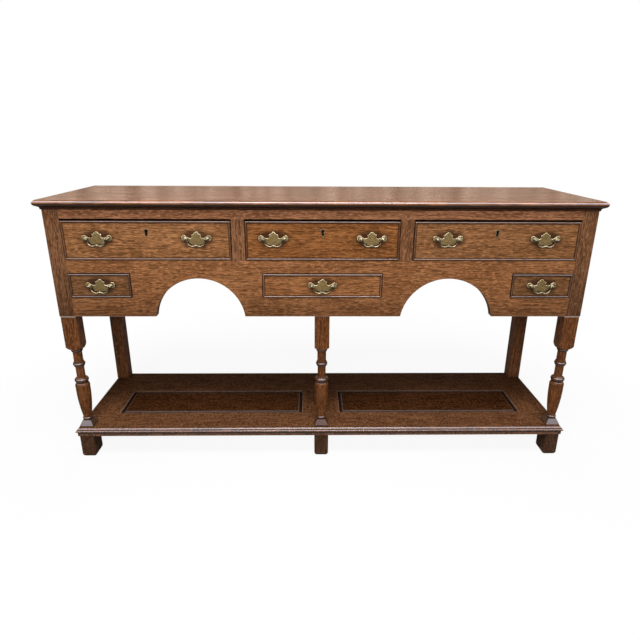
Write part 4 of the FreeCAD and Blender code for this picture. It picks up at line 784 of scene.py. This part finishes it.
COLLAR = ((0, -0.9), (2.3, -0.9), (2.7, -0.4), (2.7, 0.4), (2.3, 0.9), (0, 0.9))
collar_mesh = turned_mesh("collar", COLLAR)
collar_mesh.transform(Matrix.Rotation(math.pi / 2, 4, "Z"))
PIN = ((0, -3.2), (1.4, -3.2), (1.4, 3.2), (0, 3.2))
pin_mesh = turned_mesh("pin", PIN, steps=16)
pin_mesh.transform(Matrix.Rotation(math.pi / 2, 4, "Z"))
END_BALL = ((0, 1.9), (0.95, 1.65), (1.65, 0.95), (1.9, 0), (1.65, -0.95), (0.95, -1.65), (0, -1.9))
end_mesh = turned_mesh("bail_end", END_BALL, steps=16)
bail_brass = metal("bail_brass", shade(0.23, 0.18, 0.105), shade(0.12, 0.092, 0.05), 0.26, 0.42,
                   patches=130.0, relief=0.25, arris=0.7, worn=CREAM_BRASS)
KNOP_DROP = 18.9
COLLAR_DROP = 18.7
COLLAR_REACH = 4.0
PIN_REACH = 28.8
for bail, pivot in handles.items():
    parts = [(bail_mesh, pivot, 0), (knop_mesh, pivot + Vector((0, 0, -KNOP_DROP * MM)), 0)]
    for side in (-1, 1):
        parts.append((collar_mesh, pivot + Vector((side * COLLAR_REACH * MM, 0, -COLLAR_DROP * MM)), 0))
        parts.append((pin_mesh, pivot + Vector((side * PIN_REACH * MM, 0, 0)), 0))
        parts.append((end_mesh, pivot + Vector((side * ARM_REACH * MM, 0, 0)), 0))
    gathered(f"{bail}_swan_neck", parts, bail, bail, (bail_brass,))

# Studio
# A plain pale floor that fades to white, a white surround, and soft lights overhead, in front and behind.
# Polish mirrors a bright sky high in front and a duller streaky one behind, and of the lights only the
# one overhead. The camera stands where the photograph was taken.

FLOOR_HALF = 30
FADE_START = 0.8
FADE_END = 1.7
floor_shape = bmesh.new()
bmesh.ops.create_grid(floor_shape, x_segments=1, y_segments=1, size=FLOOR_HALF)
floor_mesh = bpy.data.meshes.new("floor")
floor_shape.to_mesh(floor_mesh)
floor_shape.free()
floor = bpy.data.objects.new("floor", floor_mesh)
bpy.context.scene.collection.objects.link(floor)
floor_paint = bpy.data.materials.new("floor_paint")
floor_paint.use_nodes = True
tree = floor_paint.node_tree
paint = tree.nodes["Principled BSDF"]
paint.inputs["Roughness"].default_value = 0.9
paint.inputs["Specular IOR Level"].default_value = 0.0
place = put(tree, "ShaderNodeTexCoord").outputs["Object"]
distance = put(tree, "ShaderNodeVectorMath", {0: place}, operation="LENGTH").outputs["Value"]
seen = put(tree, "ShaderNodeLightPath").outputs["Is Camera Ray"]
tree.links.new(mixed(tree, seen, shade(0.4, 0.4, 0.4), shade(0.9, 0.9, 0.9)), paint.inputs["Base Color"])
fade = maths(tree, "MULTIPLY", spread(tree, distance, FADE_START, FADE_END, 0.9, 1.0), seen)
white = put(tree, "ShaderNodeEmission", {"Color": shade(1, 1, 1), "Strength": 1.0})
blend = put(tree, "ShaderNodeMixShader", {0: fade, 1: paint.outputs[0], 2: white.outputs[0]})
tree.links.new(blend.outputs[0], tree.nodes["Material Output"].inputs["Surface"])
floor_mesh.materials.append(floor_paint)

surround = bpy.data.worlds.new("surround")
bpy.context.scene.world = surround
surround.use_nodes = True
tree = surround.node_tree
path = put(tree, "ShaderNodeLightPath").outputs
direction = put(tree, "ShaderNodeTexCoord").outputs["Generated"]
ray = put(tree, "ShaderNodeSeparateXYZ", {0: direction}).outputs
FILL_LEVEL = 0.14
GROUND_LEVEL = 0.2
BEHIND_LEVEL = 0.47
SKY_LEVEL = 8.5
SKY_EDGE = (0.26, 0.42)
BEHIND_EDGE = (0.0, 0.1)
FRONT_EDGE = (-0.25, 0.1)
STREAK_LUMPS = (40.0, 0.0, 0.0)
BEHIND_TINT = shade(1.1, 0.9, 0.75)
SKY_TINT = shade(0.85, 0.93, 1.1)
sky = spread(tree, ray["Z"], *SKY_EDGE, GROUND_LEVEL, SKY_LEVEL)
behind = spread(tree, ray["Z"], *BEHIND_EDGE, GROUND_LEVEL, BEHIND_LEVEL)
sideways = put(tree, "ShaderNodeCombineXYZ", {0: ray["X"]}).outputs[0]
streaks = noise(tree, sideways, STREAK_LUMPS, 2.0).outputs[0]
behind = maths(tree, "MULTIPLY", behind, spread(tree, streaks, 0.35, 0.65, 0.4, 1.8))
in_front = spread(tree, ray["Y"], *FRONT_EDGE, 1.0, 0.0)
mirrored_sky = put(tree, "ShaderNodeMix", {0: in_front, 2: behind, 3: sky}).outputs[0]
level = put(tree, "ShaderNodeMix", {0: path["Is Glossy Ray"], 2: FILL_LEVEL, 3: mirrored_sky}).outputs[0]
level = maths(tree, "MAXIMUM", level, path["Is Camera Ray"])
tree.links.new(level, tree.nodes["Background"].inputs["Strength"])
mirrored_tint = mixed(tree, in_front, BEHIND_TINT, SKY_TINT)
tint = mixed(tree, path["Is Glossy Ray"], shade(1, 1, 1), mirrored_tint)
tree.links.new(tint, tree.nodes["Background"].inputs["Color"])


def softbox(name, place, aim, width, depth, power, in_mirrors=True):
    lamp = bpy.data.lights.new(name, "AREA")
    lamp.shape = "RECTANGLE"
    lamp.size = width
    lamp.size_y = depth
    lamp.energy = power
    item = bpy.data.objects.new(name, lamp)
    item.location = place
    item.rotation_euler = (Vector(aim) - Vector(place)).to_track_quat("-Z", "Y").to_euler()
    item.visible_glossy = in_mirrors
    bpy.context.scene.collection.objects.link(item)


softbox("overhead_light", (0, -1.5, 3.2), (0, -0.2, 0.6), 1.8, 0.8, 72)
softbox("front_light", (-0.2, -3.6, 2.2), (0, -0.2, 0.5), 1.4, 1.4, 107, in_mirrors=False)
softbox("back_light", (0, 3.4, 0.9), (0, 0.2, 0.55), 1.4, 0.8, 55, in_mirrors=False)

VIEW_PITCH = math.radians(19.691)
VIEW_YAW = math.radians(-1.0653)
VIEW_ROLL = math.radians(0.3427)
VIEW_PLACE = (-0.03463, -1.70401, 1.02675)
SENSOR_WIDTH = 36
FOCUS_PIXELS = 518.66
PICTURE_PIXELS = 640
lens = bpy.data.cameras.new("photo_view")
lens.sensor_width = SENSOR_WIDTH
lens.lens = SENSOR_WIDTH * FOCUS_PIXELS / PICTURE_PIXELS
camera = bpy.data.objects.new("photo_view", lens)
turn = (Matrix.Rotation(VIEW_YAW, 4, "Z") @ Matrix.Rotation(math.pi / 2 - VIEW_PITCH, 4, "X")
        @ Matrix.Rotation(VIEW_ROLL, 4, "Z"))
camera.matrix_world = Matrix.Translation(VIEW_PLACE) @ turn
bpy.context.scene.collection.objects.link(camera)
bpy.context.scene.camera = camera
bpy.context.scene.view_settings.view_transform = "Standard"
